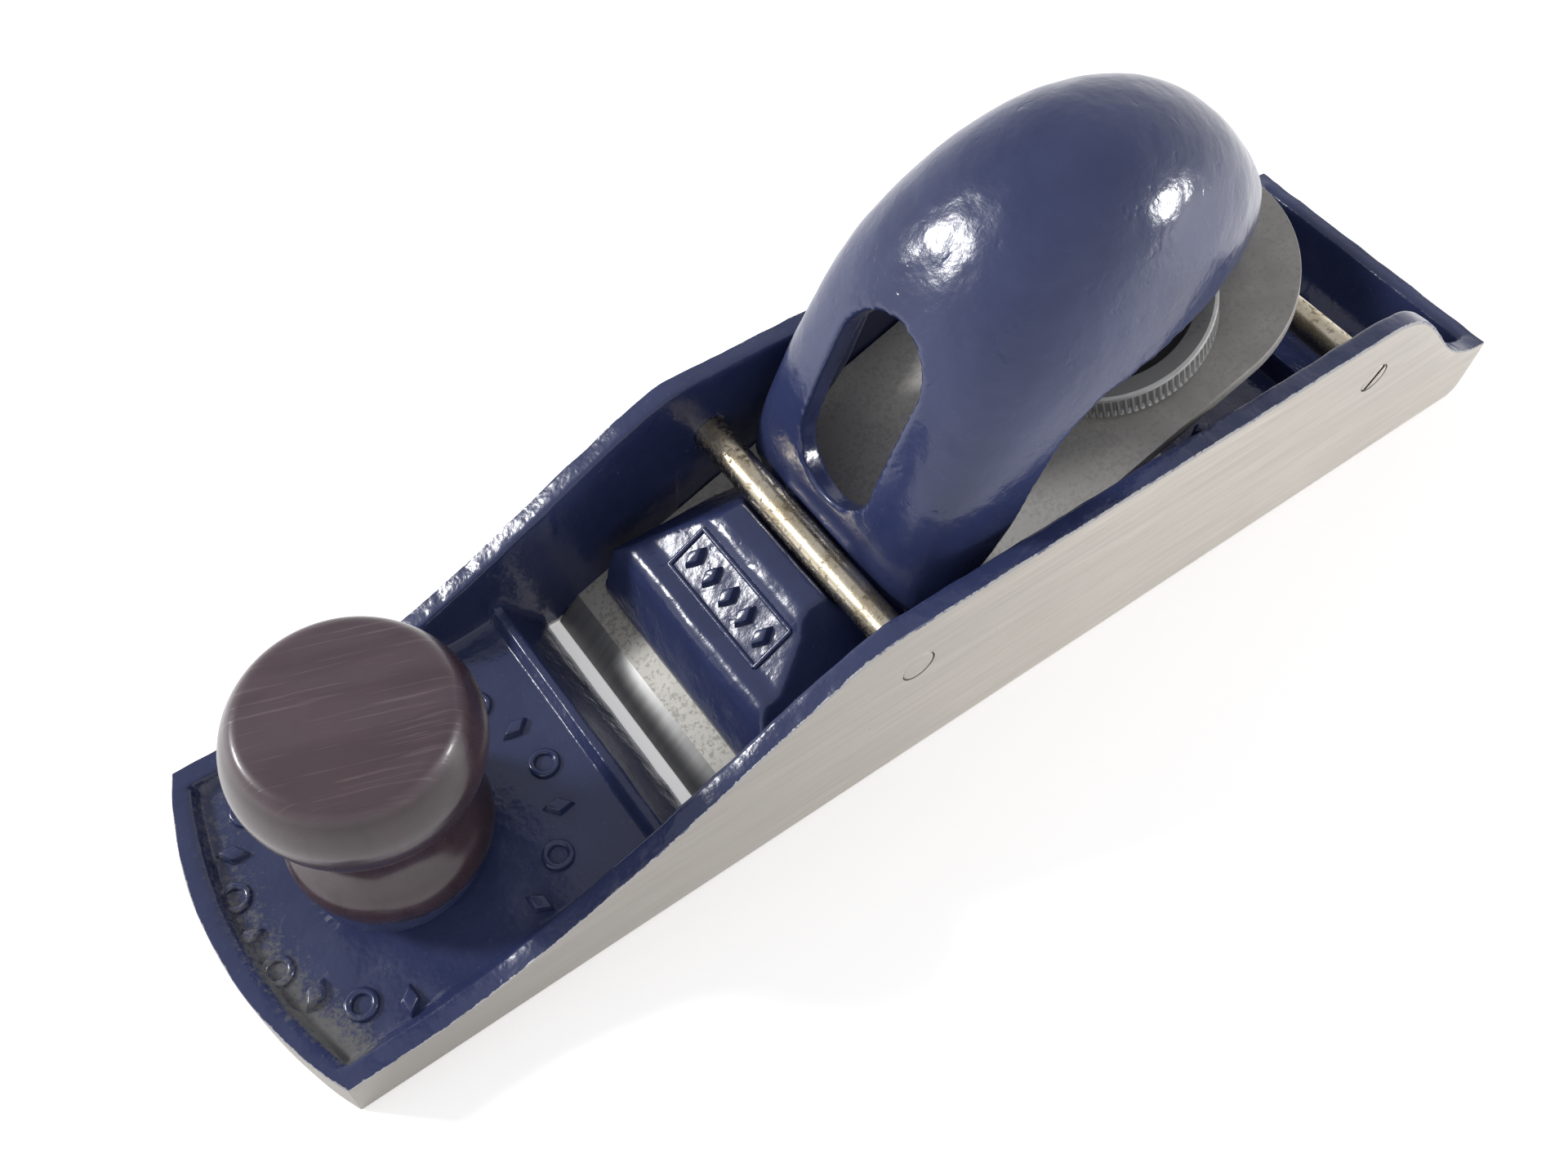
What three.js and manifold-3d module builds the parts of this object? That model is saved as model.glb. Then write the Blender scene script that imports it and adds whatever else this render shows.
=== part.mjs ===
// A double-ended block plane: a cast body with two mouths, a blade clamped by a palm-shaped lever cap,
// and a turned front knob. Millimetres, +Z up, toe at -X, sole on Z = 0.
import * as THREE from "three";
import { mergeVertices } from "three/addons/utils/BufferGeometryUtils.js";
import Module from "manifold-3d";

const wasm = await Module();
wasm.setup();

// Driving dimensions.
const bodyLength = 203.2;
const bodyWidth = 47.8;
const sideWall = 2.9;
const sideHeight = 34.6;
const soleThickness = 3.6;
const heelHeight = 11.6;
const heelWall = 3.0;
const heelEdgeRadius = 2.0;
const toeRadius = 56;
const toeRimWidth = 3.0;
const toeRimHeight = 7.8;
const toeFloorLow = 5.2;
const toeFloorHigh = 9.0;
const ridgeHeight = 10.8;
const ridgeWidth = 1.2;

const mouthFromToe = 58.8; // toe to the cutting edge
const bullMouthFromHeel = 8.2; // heel face to the bull-nose mouth line
const mouthGap = 1.9; // open slot in front of the edge
const bedAngle = THREE.MathUtils.degToRad(23);
const bedLand = 0.55; // height of the casting's lip behind each mouth
const mainBedLength = 18.5;
const bullBedLength = 16.5;
const bridgeLength = 9.0;

const rodRadius = 2.4;
const rodFromEdge = 33.33; // along the blade's back
const rodAboveBack = 11.98;
const slotWidth = 0.9;
const slotDepth = 1.2;

const bladeWidth = 39.6;
const bladeSideShift = 0.8; // the clamped blade stands a little off centre
const bladeLength = 111.8;
const bladeThickness = 2.2;
const bevelAngle = THREE.MathUtils.degToRad(25);
const edgeHeight = 0.15; // cutting edge above the sole at rest

const capWidth = 35.4;
const capWall = 3.4;
const capDrawnAt = THREE.MathUtils.degToRad(23); // the bed angle its sections are drawn for
const capNoseFromEdge = 8.0; // along the blade
const noseHeight = 12.3; // above the blade's back
const noseShoulder = 14.8; // above the sole
const noseTopHalf = 10.6;
const capHoleWidth = 13.8;
const capHoleLength = 27.0;
const bossRadius = 6.5;

const wheelRadius = 15.0;
const wheelHeight = 5.2;
const wheelLand = 3.6;
const wheelRecess = 1.8;
const wheelChamfer = 1.0;
const wheelFromEdge = 83.6; // along the blade
const screwRadius = 3.2;
const screwLength = 26;

const knobFromToe = 24.0;
const knobHeight = 32;
const knobRadius = 14.2;
const knobFlangeRadius = 12.5;
const knobBaseRadius = 10.4;
const knobWaistRadius = 9.8;
const knobTopRadius = 11.4;
const knobBossHeight = 8.0; // above the sole
const studRadius = 3.0;
const studLength = 21.5;
const insertRadius = 5.0;
const insertLength = 17.5;

// The cheeks' top line, as lengths along X and Z from its end points.
const frontSweep = { top: 4.2, topHandle: 14.2, rimHandle: 41.6, rimEnd: 13.6, rimRise: 1.2 };
const rearSweep = { top: 1.4, topHandle: 11.6, heelHandle: 15.6, heelEnd: 1.2, heelRise: 1.9 };
const floorStep = { ridgeFoot: 0.8, ridgeFromMouth: 6.0, mouthFront: 1.2, heelFloor: 4.2 };
const knobBossLip = 0.8; // wider than the knob's foot
const shoulderRise = 7.4;
const bossFoot = 17; // of the cap's screw boss, above the blade
const bossTop = 41;
const screwHoleDepth = 17.5;
const holePlace = { out: 3.4, up: 20.4, lean: 20, depth: 16 }; // the finger hole, from the front rod

const gap = 0.3; // between touching pieces
const runningGap = 0.09; // round a pin or rod that turns
const seatGap = 0.35; // between faces that meet at the bed angle

// Places worked out from the sizes.
const toeX = -bodyLength / 2;
const heelX = bodyLength / 2;
const halfWidth = bodyWidth / 2;
const toeCentreX = toeX + toeRadius;
const edgeX = toeX + mouthFromToe;
const bullX = heelX - bullMouthFromHeel;
const knobX = toeX + knobFromToe;
const tanBed = Math.tan(bedAngle);
const sinBed = Math.sin(bedAngle);
const cosBed = Math.cos(bedAngle);

// A point along and above the blade's back, in X and Z.
const onBed = (along, above) => [
  edgeX + along * cosBed - above * sinBed,
  edgeHeight + along * sinBed + above * cosBed,
];
const [frontRodX, rodHeight] = onBed(rodFromEdge, rodAboveBack);
const rearRodX = bullX - (frontRodX - edgeX);
const far = 200; // longer than any piece
const bedDrop = seatGap / cosBed;

// Solids.
function solidOf(geometry) {
  geometry.deleteAttribute("normal");
  geometry.deleteAttribute("uv");
  const merged = mergeVertices(geometry, 1e-4);
  return new wasm.Manifold(
    new wasm.Mesh({
      numProp: 3,
      vertProperties: new Float32Array(merged.attributes.position.array),
      triVerts: new Uint32Array(merged.index.array),
    }),
  );
}

function geometryOf(solid) {
  const mesh = solid.getMesh();
  const geometry = new THREE.BufferGeometry();
  geometry.setAttribute("position", new THREE.BufferAttribute(mesh.vertProperties, 3));
  geometry.setIndex(new THREE.BufferAttribute(mesh.triVerts, 1));
  geometry.computeVertexNormals();
  return geometry;
}

// A shape drawn in X and Z, pushed through from y0 to y1.
function throughY(shape, y0, y1, curveSegments = 24) {
  const depth = y1 - y0;
  const geometry = new THREE.ExtrudeGeometry(shape, { depth, bevelEnabled: false, curveSegments });
  geometry.rotateX(Math.PI / 2);
  geometry.translate(0, y1, 0);
  return solidOf(geometry);
}

// A shape drawn in X and Y, pushed up from z0 to z1.
function upZ(shape, z0, z1, curveSegments = 24) {
  const depth = z1 - z0;
  const geometry = new THREE.ExtrudeGeometry(shape, { depth, bevelEnabled: false, curveSegments });
  geometry.translate(0, 0, z0);
  return solidOf(geometry);
}

function polygon(points) {
  return new THREE.Shape(points.map(([a, b]) => new THREE.Vector2(a, b)));
}

function rodAlongY(radius, x, z, y0, y1, sides = 32) {
  const geometry = new THREE.CylinderGeometry(radius, radius, y1 - y0, sides);
  geometry.translate(x, (y0 + y1) / 2, z);
  return solidOf(geometry);
}

function postAlongZ(radius, x, z0, z1, sides = 32) {
  const geometry = new THREE.CylinderGeometry(radius, radius, z1 - z0, sides);
  geometry.rotateX(Math.PI / 2);
  geometry.translate(x, 0, (z0 + z1) / 2);
  return solidOf(geometry);
}

// A turned piece about Z: profile points are [radius, height], from the axis round to the axis.
function turned(profile, sides = 48) {
  const points = profile.map(([r, z]) => new THREE.Vector2(r, z));
  return new THREE.LatheGeometry(points, sides).rotateX(Math.PI / 2);
}

// Body casting.
function planShape(inset, rimInset, heelInset) {
  const radius = toeRadius - rimInset;
  const half = halfWidth - inset;
  const swing = Math.asin(half / radius);
  const shape = new THREE.Shape();
  shape.moveTo(heelX - heelInset, -half);
  shape.lineTo(heelX - heelInset, half);
  shape.absarc(toeCentreX, 0, radius, Math.PI - swing, Math.PI + swing, false);
  shape.closePath();
  return shape;
}

// Side view: level rim at the toe, a sweep up to the level top, and a sweep down to the heel.
function sideShape() {
  const shape = new THREE.Shape();
  shape.moveTo(toeX - 1, 0);
  shape.lineTo(heelX - heelEdgeRadius, 0);
  shape.absarc(heelX - heelEdgeRadius, heelEdgeRadius, heelEdgeRadius, -Math.PI / 2, 0, false);
  shape.lineTo(heelX, heelHeight);
  shape.lineTo(heelX - rearSweep.heelEnd, heelHeight);
  shape.bezierCurveTo(
    heelX - rearSweep.heelHandle, heelHeight + rearSweep.heelRise,
    rearRodX + rearSweep.topHandle, sideHeight,
    rearRodX - rearSweep.top, sideHeight,
  );
  shape.lineTo(frontRodX - frontSweep.top, sideHeight);
  shape.bezierCurveTo(
    frontRodX - frontSweep.topHandle, sideHeight,
    toeX + frontSweep.rimHandle, toeRimHeight + frontSweep.rimRise,
    toeX + frontSweep.rimEnd, toeRimHeight,
  );
  shape.lineTo(toeX - 1, toeRimHeight);
  shape.closePath();
  return shape;
}

const mainBed = (x) => (x - edgeX) * tanBed + edgeHeight - bedDrop;
const bullBed = (x) => (bullX - x) * tanBed + edgeHeight - bedDrop;
const lipRun = (bedLand + bedDrop - edgeHeight) / tanBed;

// Everything above this line inside the walls is open.
function floorLine() {
  const mouthFront = edgeX - mouthGap;
  const bullFront = bullX + mouthGap;
  const mainLip = edgeX + lipRun;
  const bullLip = bullX - lipRun;
  const peakX = (edgeX + bullX) / 2;
  const ridgeX = mouthFront - floorStep.ridgeFromMouth;
  return [
    [toeX, toeFloorLow],
    [ridgeX - ridgeWidth - floorStep.ridgeFoot, toeFloorHigh],
    [ridgeX - ridgeWidth, ridgeHeight],
    [ridgeX, ridgeHeight],
    [mouthFront, floorStep.mouthFront],
    [mouthFront, -1],
    [mainLip, -1],
    [mainLip, bedLand],
    [mainLip + mainBedLength, mainBed(mainLip + mainBedLength)],
    [mainLip + mainBedLength, soleThickness],
    [peakX - bridgeLength / 2, soleThickness],
    [peakX - bridgeLength / 2, mainBed(peakX - bridgeLength / 2)],
    [peakX, mainBed(peakX)],
    [peakX + bridgeLength / 2, bullBed(peakX + bridgeLength / 2)],
    [peakX + bridgeLength / 2, soleThickness],
    [bullLip - bullBedLength, soleThickness],
    [bullLip - bullBedLength, bullBed(bullLip - bullBedLength)],
    [bullLip, bedLand],
    [bullLip, -1],
    [bullFront, -1],
    [bullFront, floorStep.mouthFront],
    [heelX - heelWall, floorStep.heelFloor],
    [heelX, floorStep.heelFloor],
  ];
}

function makeBody() {
  const block = upZ(planShape(0, 0, 0), 0, sideHeight + 1, 40);
  const outer = block.intersect(throughY(sideShape(), -halfWidth - 1, halfWidth + 1, 28));
  const opening = [...floorLine(), [heelX, sideHeight + 5], [toeX, sideHeight + 5]];
  const above = throughY(polygon(opening), -halfWidth, halfWidth);
  const inside = upZ(planShape(sideWall, toeRimWidth, heelWall), -2, sideHeight + 6, 40);
  const knobBoss = postAlongZ(knobBaseRadius + knobBossLip, knobX, 1, knobBossHeight, 48);
  const frontBore = rodAlongY(rodRadius + runningGap, frontRodX, rodHeight, -far, far);
  const rearBore = rodAlongY(rodRadius + runningGap, rearRodX, rodHeight, -far, far);
  const studHole = postAlongZ(studRadius + gap, knobX, 1.5, knobBossHeight + 1);
  return outer
    .subtract(inside.intersect(above))
    .add(knobBoss)
    .subtract(frontBore)
    .subtract(rearBore)
    .subtract(studHole);
}

// Blade, drawn with its back on Z = 0 and its edge at X = 0.
function makeBlade() {
  const half = bladeWidth / 2;
  const plan = new THREE.Shape();
  plan.moveTo(0, -half);
  plan.lineTo(bladeLength - half, -half);
  plan.absarc(bladeLength - half, 0, half, -Math.PI / 2, Math.PI / 2, false);
  plan.lineTo(0, half);
  plan.closePath();
  const bevelRun = bladeThickness / Math.tan(bevelAngle);
  const side = polygon([
    [0, 0],
    [bladeLength + 1, 0],
    [bladeLength + 1, bladeThickness],
    [bevelRun, bladeThickness],
  ]);
  return upZ(plan, -1, bladeThickness + 1, 40).intersect(throughY(side, -half - 1, half + 1));
}

// Lever cap.
// Where the cap's skin runs: crown is its middle line, skirt its lower edge, half its half width.
const neckFront = rodRadius + seatGap + 0.1;
const capStations = [
  { crown: [neckFront, -1.7], skirt: [11.8, -3.9], half: 18.5, square: 5.0 },
  { crown: [neckFront, 4.8], skirt: [13.8, 0.8], half: 18.4, square: 4.6 },
  { crown: [4.2, 13.8], skirt: [18.3, 7.8], half: 18.3, square: 4.0 },
  { crown: [7.2, 22.8], skirt: [21.3, 15.8], half: 18.2, square: 3.4 },
  { crown: [11.6, 32.6], skirt: [24.3, 21.8], half: 18.2, square: 2.9 },
  { crown: [17.8, 41.0], skirt: [28.3, 24.6], half: 18.1, square: 2.5 },
  { crown: [25.8, 47.6], skirt: [34.8, 25.4], half: 17.6, square: 2.35 },
  { crown: [34.4, 50.6], skirt: [42.4, 25.9], half: 16.4, square: 2.3 },
  { crown: [44.6, 49.6], skirt: [49.8, 26.2], half: 14.6, square: 2.25 },
  { crown: [54.2, 44.9], skirt: [56.8, 26.4], half: 12.2, square: 2.2 },
  { crown: [62.6, 37.2], skirt: [63.6, 26.3], half: 8.8, square: 2.1 },
  { crown: [69.0, 29.8], skirt: [68.8, 25.9], half: 4.8, square: 2.0 },
  { crown: [71.6, 26.2], skirt: [71.3, 25.5], half: 1.0, square: 2.0 },
]; // X and Z from the front rod's axis

const capStretch = capWidth / 35.4;
// The palm rest leans with the bed, about the front rod.
function leanWithBed(geometry) {
  geometry.translate(-frontRodX, 0, -rodHeight);
  geometry.rotateY(capDrawnAt - bedAngle);
  return geometry.translate(frontRodX, 0, rodHeight);
}

const stationCurve = (key) =>
  new THREE.CatmullRomCurve3(
    capStations.map((s) => new THREE.Vector3(s[key][0] + frontRodX, 0, s[key][1] + rodHeight)),
    false,
    "centripetal",
  );
const shapeCurve = new THREE.CatmullRomCurve3(
  capStations.map((s) => new THREE.Vector3(s.half * capStretch, s.square, 0)),
  false,
  "centripetal",
);

// A closed solid lofted through the stations, thinned by inset and opened below the skirt by reach.
function capLoft(inset, reach, rows, sides, lastShare) {
  const crown = stationCurve("crown");
  const skirt = stationCurve("skirt");
  const last = (capStations.length - 1) * lastShare;
  const positions = [];
  for (let i = 0; i <= rows; i++) {
    const t = (last * i) / rows / (capStations.length - 1);
    const top = crown.getPoint(t);
    const tangent = crown.getTangent(t);
    const low = skirt.getPoint(t);
    const { x: half, y: square } = shapeCurve.getPoint(t);
    top.add(new THREE.Vector3(tangent.z, 0, -tangent.x).multiplyScalar(inset));
    low.add(low.clone().sub(top).normalize().multiplyScalar(reach));
    const wide = Math.max(half - inset, 0.5);
    for (let j = 0; j <= sides; j++) {
      const angle = (Math.PI * j) / sides;
      const across = Math.sign(Math.cos(angle)) * Math.abs(Math.cos(angle)) ** (2 / square);
      const up = Math.sin(angle) ** (2 / square);
      const point = low.clone().lerp(top, j === 0 || j === sides ? 0 : up);
      positions.push(point.x, wide * across, point.z);
    }
  }
  const ring = sides + 1;
  const index = [];
  for (let i = 0; i < rows; i++) {
    for (let j = 0; j < ring; j++) {
      const a = i * ring + j;
      const b = i * ring + ((j + 1) % ring);
      index.push(a, b, a + ring, b, b + ring, a + ring);
    }
  }
  for (let j = 1; j < sides; j++) {
    const end = rows * ring;
    index.push(0, j + 1, j, end, end + j, end + j + 1);
  }
  const geometry = new THREE.BufferGeometry();
  geometry.setAttribute("position", new THREE.Float32BufferAttribute(positions, 3));
  geometry.setIndex(index);
  return solidOf(leanWithBed(geometry));
}

// The nose under and ahead of the front rod: a steep front, a framed panel and a saddle for the rod.
function makeCapNose() {
  const half = capWidth / 2;
  const under = bladeThickness + seatGap;
  const nose = (along, above) => onBed(capNoseFromEdge + along, above);
  const outline = [
    nose(0, under),
    nose(5, under),
    nose(6.5, under + 1.2),
    nose(33, under + 1.2),
    [frontRodX + 10.5, rodHeight - 3.4],
    [frontRodX + 4, rodHeight + 4],
    [frontRodX, rodHeight],
    nose(21.2, noseHeight + 1.0),
    nose(19.4, noseHeight + 1.6),
    nose(17.4, noseHeight + 1.3),
    nose(16.4, noseHeight + 0.5),
    nose(9.6, noseHeight - 0.8),
    nose(8.9, noseHeight - 0.4),
    nose(7.5, noseHeight),
    nose(6.2, noseHeight - 0.4),
    nose(4.9, noseHeight - 1.6),
    nose(0.4, under + 2),
  ];
  const bar = throughY(polygon(outline), -half, half);
  const shoulders = new THREE.ExtrudeGeometry(
    polygon([
      [-half - 1, -far],
      [half + 1, -far],
      [half + 1, noseShoulder],
      [half, noseShoulder],
      [noseTopHalf, noseShoulder + shoulderRise],
      [noseTopHalf, far],
      [-noseTopHalf, far],
      [-noseTopHalf, noseShoulder + shoulderRise],
      [-half, noseShoulder],
      [-half - 1, noseShoulder],
    ]),
    { depth: frontRodX - edgeX + 2 * far, bevelEnabled: false },
  );
  shoulders.rotateX(Math.PI / 2);
  shoulders.rotateZ(Math.PI / 2); // drawn across Y and up Z, pushed along X
  shoulders.translate(-far, 0, 0);
  const pocket = polygon([
    nose(5.5, under - 1),
    nose(9, under + 6.2),
    nose(18.5, under + 6.4),
    nose(22, under + 3.6),
    nose(40, under + 3.6),
    nose(40, under - 1),
  ]);
  return bar
    .intersect(solidOf(shoulders))
    .subtract(throughY(pocket, -noseTopHalf, noseTopHalf));
}

// The open saddle that the front rod lies in.
function makeSaddle() {
  const reach = rodRadius + seatGap;
  const mouth = polygon([
    [frontRodX - reach, rodHeight],
    [frontRodX + reach, rodHeight],
    [frontRodX + reach, rodHeight + reach],
    [frontRodX - reach, rodHeight + 20],
  ]);
  return rodAlongY(reach, frontRodX, rodHeight, -far, far, 40).add(throughY(mouth, -far, far));
}

function makeLeverCap() {
  const shell = capLoft(0, 0, 34, 28, 1).subtract(capLoft(capWall, 9, 26, 20, 0.9));
  const bossBottom = bladeThickness + bossFoot;
  const upright = (radius, low, high, sides) => {
    const geometry = new THREE.CylinderGeometry(radius, radius, high - low, sides);
    geometry.rotateX(Math.PI / 2);
    geometry.translate(wheelFromEdge, 0, (low + high) / 2);
    geometry.rotateY(-bedAngle);
    geometry.translate(edgeX, 0, edgeHeight);
    return solidOf(geometry);
  };
  const boss = upright(bossRadius, bossBottom, bossTop, 24).intersect(capLoft(0.8, 40, 34, 28, 0.95));
  const screwHole = upright(screwRadius + gap, bossBottom - 1, bossBottom + screwHoleDepth, 24);
  const nose = makeCapNose();
  const holeShape = new THREE.Shape();
  const r = capHoleWidth / 2;
  const straight = capHoleLength / 2 - r;
  holeShape.moveTo(r, -straight);
  holeShape.absarc(0, straight, r, 0, Math.PI, false);
  holeShape.absarc(0, -straight, r, Math.PI, 2 * Math.PI, false);
  const pushed = { depth: holePlace.depth, bevelEnabled: false, curveSegments: 14 };
  const hole = new THREE.ExtrudeGeometry(holeShape, pushed);
  hole.rotateX(Math.PI / 2); // long axis up, pushed towards -Y
  hole.rotateZ(Math.PI / 2); // pushed towards +X
  hole.rotateY(THREE.MathUtils.degToRad(holePlace.lean)); // leaning back with the cap's front
  hole.translate(frontRodX + holePlace.out, 0, rodHeight + holePlace.up);
  leanWithBed(hole);
  return nose
    .add(shell)
    .add(boss)
    .subtract(makeSaddle())
    .subtract(screwHole)
    .subtract(solidOf(hole));
}

// Clamp wheel and screw, about Z with the blade's top at Z = 0.
const screwSeat = 1.2;
const wheelProfile = [
  [screwRadius + gap, 0],
  [wheelRadius - 0.5, 0],
  [wheelRadius, 0.5],
  [wheelRadius, wheelHeight - wheelChamfer],
  [wheelRadius - wheelChamfer, wheelHeight],
  [wheelRadius - wheelLand, wheelHeight],
  [wheelRadius - wheelLand - 0.6, wheelHeight - wheelRecess],
  [screwRadius + 3.4, wheelHeight - wheelRecess],
  [screwRadius + 2.8, wheelHeight + 0.8],
  [screwRadius + gap, wheelHeight + 0.8],
  [screwRadius + gap, 0],
];
const screwProfile = [
  [0, screwSeat],
  [screwRadius, screwSeat],
  [screwRadius, screwLength - 0.8],
  [screwRadius - 0.8, screwLength],
  [0, screwLength],
];

// Front knob.
const knobBase = knobBossHeight + gap;
const knobPocket = insertLength + 0.8;
const knobProfile = [
  [0, knobPocket],
  [insertRadius + gap, knobPocket],
  [insertRadius + gap, 0],
  [knobBaseRadius, 0],
  [knobBaseRadius + 1.2, 1.6],
  [knobFlangeRadius - 0.2, 3.4],
  [knobFlangeRadius, 5.2],
  [knobFlangeRadius - 0.4, 7.0],
  [knobWaistRadius + 1.2, 9.0],
  [knobWaistRadius + 0.2, 11.5],
  [knobWaistRadius, 13.5],
  [knobWaistRadius + 0.6, 16.0],
  [knobRadius - 2.3, 18.6],
  [knobRadius - 0.7, 21.3],
  [knobRadius, 24.4],
  [knobRadius - 0.1, knobHeight - 5.4],
  [knobRadius - 0.9, knobHeight - 2.8],
  [knobRadius - 1.9, knobHeight - 1.4],
  [knobTopRadius, knobHeight - 0.5],
  [knobTopRadius - 1.2, knobHeight],
  [0, knobHeight],
];
const insertProfile = [
  [studRadius + gap, 0.3],
  [insertRadius, 0.3],
  [insertRadius, insertLength],
  [studRadius + gap, insertLength],
  [studRadius + gap, 0.3],
];

// The plane.
const plane = new THREE.Group();

function piece(name, geometry, color, roughness, metalness, parent = plane) {
  const material = new THREE.MeshStandardMaterial({ color, roughness, metalness });
  const mesh = new THREE.Mesh(geometry, material);
  mesh.name = name;
  parent.add(mesh);
  return mesh;
}

piece("body_casting", geometryOf(makeBody()), 0x27335f, 0.35, 0.1);

const rod = () => new THREE.CylinderGeometry(rodRadius, rodRadius, bodyWidth, 32);
const frontRod = piece("front_cross_rod", rod(), 0xa9a290, 0.35, 0.9);
frontRod.position.set(frontRodX, 0, rodHeight);
const slot = new THREE.BoxGeometry(far, 2 * slotDepth, slotWidth).translate(0, -halfWidth, 0);
const slotted = solidOf(rod()).subtract(solidOf(slot));
const rearRod = piece("rear_cross_rod", geometryOf(slotted), 0xa9a290, 0.35, 0.9);
rearRod.position.set(rearRodX, 0, rodHeight);
rearRod.rotation.y = -Math.PI / 3;

const bedFrame = new THREE.Group();
bedFrame.position.set(edgeX, 0, edgeHeight);
bedFrame.rotation.y = -bedAngle;
plane.add(bedFrame);
const blade = piece("blade", geometryOf(makeBlade()), 0x77756f, 0.4, 0.9, bedFrame);
blade.position.y = bladeSideShift;

piece("lever_cap", geometryOf(makeLeverCap()), 0x2b3867, 0.3, 0.1);

const clamp = new THREE.Group();
clamp.position.set(wheelFromEdge, 0, bladeThickness + seatGap);
bedFrame.add(clamp);
piece("clamp_wheel", turned(wheelProfile, 48), 0x9c9c9c, 0.4, 0.9, clamp);
piece("clamp_screw", turned(screwProfile, 28), 0x8c8c8c, 0.4, 0.9, clamp);

const knob = new THREE.Group();
knob.position.set(knobX, 0, knobBase);
plane.add(knob);
piece("front_knob", turned(knobProfile, 44), 0x3b2426, 0.35, 0, knob);
piece("knob_insert", turned(insertProfile, 32), 0xb08d4a, 0.4, 0.9, knob);
piece("knob_stud", geometryOf(postAlongZ(studRadius, knobX, 2, 2 + studLength)), 0x8c8c8c, 0.4, 0.9);

export default plane;
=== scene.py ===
import bpy
import bmesh
import math
from mathutils import Matrix, Quaternion, Vector, geometry


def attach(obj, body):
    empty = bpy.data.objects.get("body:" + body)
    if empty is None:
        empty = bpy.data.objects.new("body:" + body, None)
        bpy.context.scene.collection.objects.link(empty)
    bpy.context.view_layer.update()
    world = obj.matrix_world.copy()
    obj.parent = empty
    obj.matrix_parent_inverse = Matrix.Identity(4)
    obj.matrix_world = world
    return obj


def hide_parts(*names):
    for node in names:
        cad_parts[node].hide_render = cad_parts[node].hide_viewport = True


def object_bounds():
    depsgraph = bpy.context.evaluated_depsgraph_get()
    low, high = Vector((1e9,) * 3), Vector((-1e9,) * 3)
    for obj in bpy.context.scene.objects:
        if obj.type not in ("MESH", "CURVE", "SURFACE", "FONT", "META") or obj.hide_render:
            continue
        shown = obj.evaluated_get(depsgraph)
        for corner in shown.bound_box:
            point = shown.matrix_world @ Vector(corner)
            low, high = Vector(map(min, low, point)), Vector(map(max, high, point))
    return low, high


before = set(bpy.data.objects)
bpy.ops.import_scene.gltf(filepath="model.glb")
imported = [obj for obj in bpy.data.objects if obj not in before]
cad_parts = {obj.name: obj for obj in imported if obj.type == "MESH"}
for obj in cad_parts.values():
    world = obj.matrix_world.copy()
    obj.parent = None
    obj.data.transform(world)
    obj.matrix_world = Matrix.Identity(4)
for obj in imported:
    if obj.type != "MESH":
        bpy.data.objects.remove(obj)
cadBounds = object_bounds()
mm = 0.001
print("frame loaded")

# lengths shared by several pieces, in millimetres
plane = dict(
    toe=-101.6, heel=101.6, halfWidth=23.9, wall=2.9, cheekTop=34.6,
    edgeX=-42.8, edgeZ=0.15, bullX=93.4, bed=math.radians(23), seat=0.35,
    frontRodX=-16.8, rearRodX=67.4, rodZ=24.2, rodRadius=2.4, rodPlay=0.09,
    knobX=-77.6, knobZ=8.3,
)


# small helpers
def deselectAll():
    if bpy.context.object and bpy.context.object.mode != "OBJECT":
        bpy.ops.object.mode_set(mode="OBJECT")
    bpy.ops.object.select_all(action="DESELECT")


def activate(piece, edit=False):
    deselectAll()
    piece.select_set(True)
    bpy.context.view_layer.objects.active = piece
    if edit:
        bpy.ops.object.mode_set(mode="EDIT")
    return piece


def newest(name):
    piece = bpy.context.object
    piece.name = name
    piece.data.name = name
    return piece


def addCube(name, low, high):
    deselectAll()
    bpy.ops.mesh.primitive_cube_add(size=1)
    piece = newest(name)
    bpy.ops.object.mode_set(mode="EDIT")
    bpy.ops.transform.resize(value=[(high[i] - low[i]) * mm for i in range(3)])
    bpy.ops.transform.translate(value=[(high[i] + low[i]) / 2 * mm for i in range(3)])
    bpy.ops.object.mode_set(mode="OBJECT")
    return piece


def addCylinder(name, radius, low, high, sides=64):
    # low and high are the middles of its two ends
    deselectAll()
    a, b = Vector(low) * mm, Vector(high) * mm
    bpy.ops.mesh.primitive_cylinder_add(vertices=sides, radius=radius * mm, depth=(b - a).length)
    piece = newest(name)
    turn = (b - a).to_track_quat("Z", "Y").to_matrix().to_4x4()
    piece.matrix_world = Matrix.Translation((a + b) / 2) @ turn
    applyPlace(piece)
    return piece


def applyPlace(piece):
    activate(piece)
    bpy.ops.object.transform_apply(location=True, rotation=True, scale=True)


def copyOf(piece):
    copied = piece.copy()
    copied.data = piece.data.copy()
    bpy.context.scene.collection.objects.link(copied)
    return copied


def pick(piece, kind, test):
    # in edit mode, selects the vertices, edges or faces that pass the test, which is given millimetres
    bpy.ops.mesh.select_mode(type=kind)
    bpy.ops.mesh.select_all(action="DESELECT")
    mesh = bmesh.from_edit_mesh(piece.data)
    for item in {"VERT": mesh.verts, "EDGE": mesh.edges, "FACE": mesh.faces}[kind]:
        if kind == "VERT":
            item.select = test(item.co / mm)
        elif kind == "EDGE":
            item.select = test(item.verts[0].co / mm, item.verts[1].co / mm)
        else:
            item.select = test(item.calc_center_median() / mm, item.normal)
    mesh.select_flush_mode()
    bmesh.update_edit_mesh(piece.data)


def cutAt(axis, places):
    # slices the whole mesh being edited across an axis at each place
    normal = Vector([axis == "X", axis == "Y", axis == "Z"])
    for place in places:
        bpy.ops.mesh.select_all(action="SELECT")
        bpy.ops.mesh.bisect(plane_co=normal * place * mm, plane_no=normal)


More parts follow.
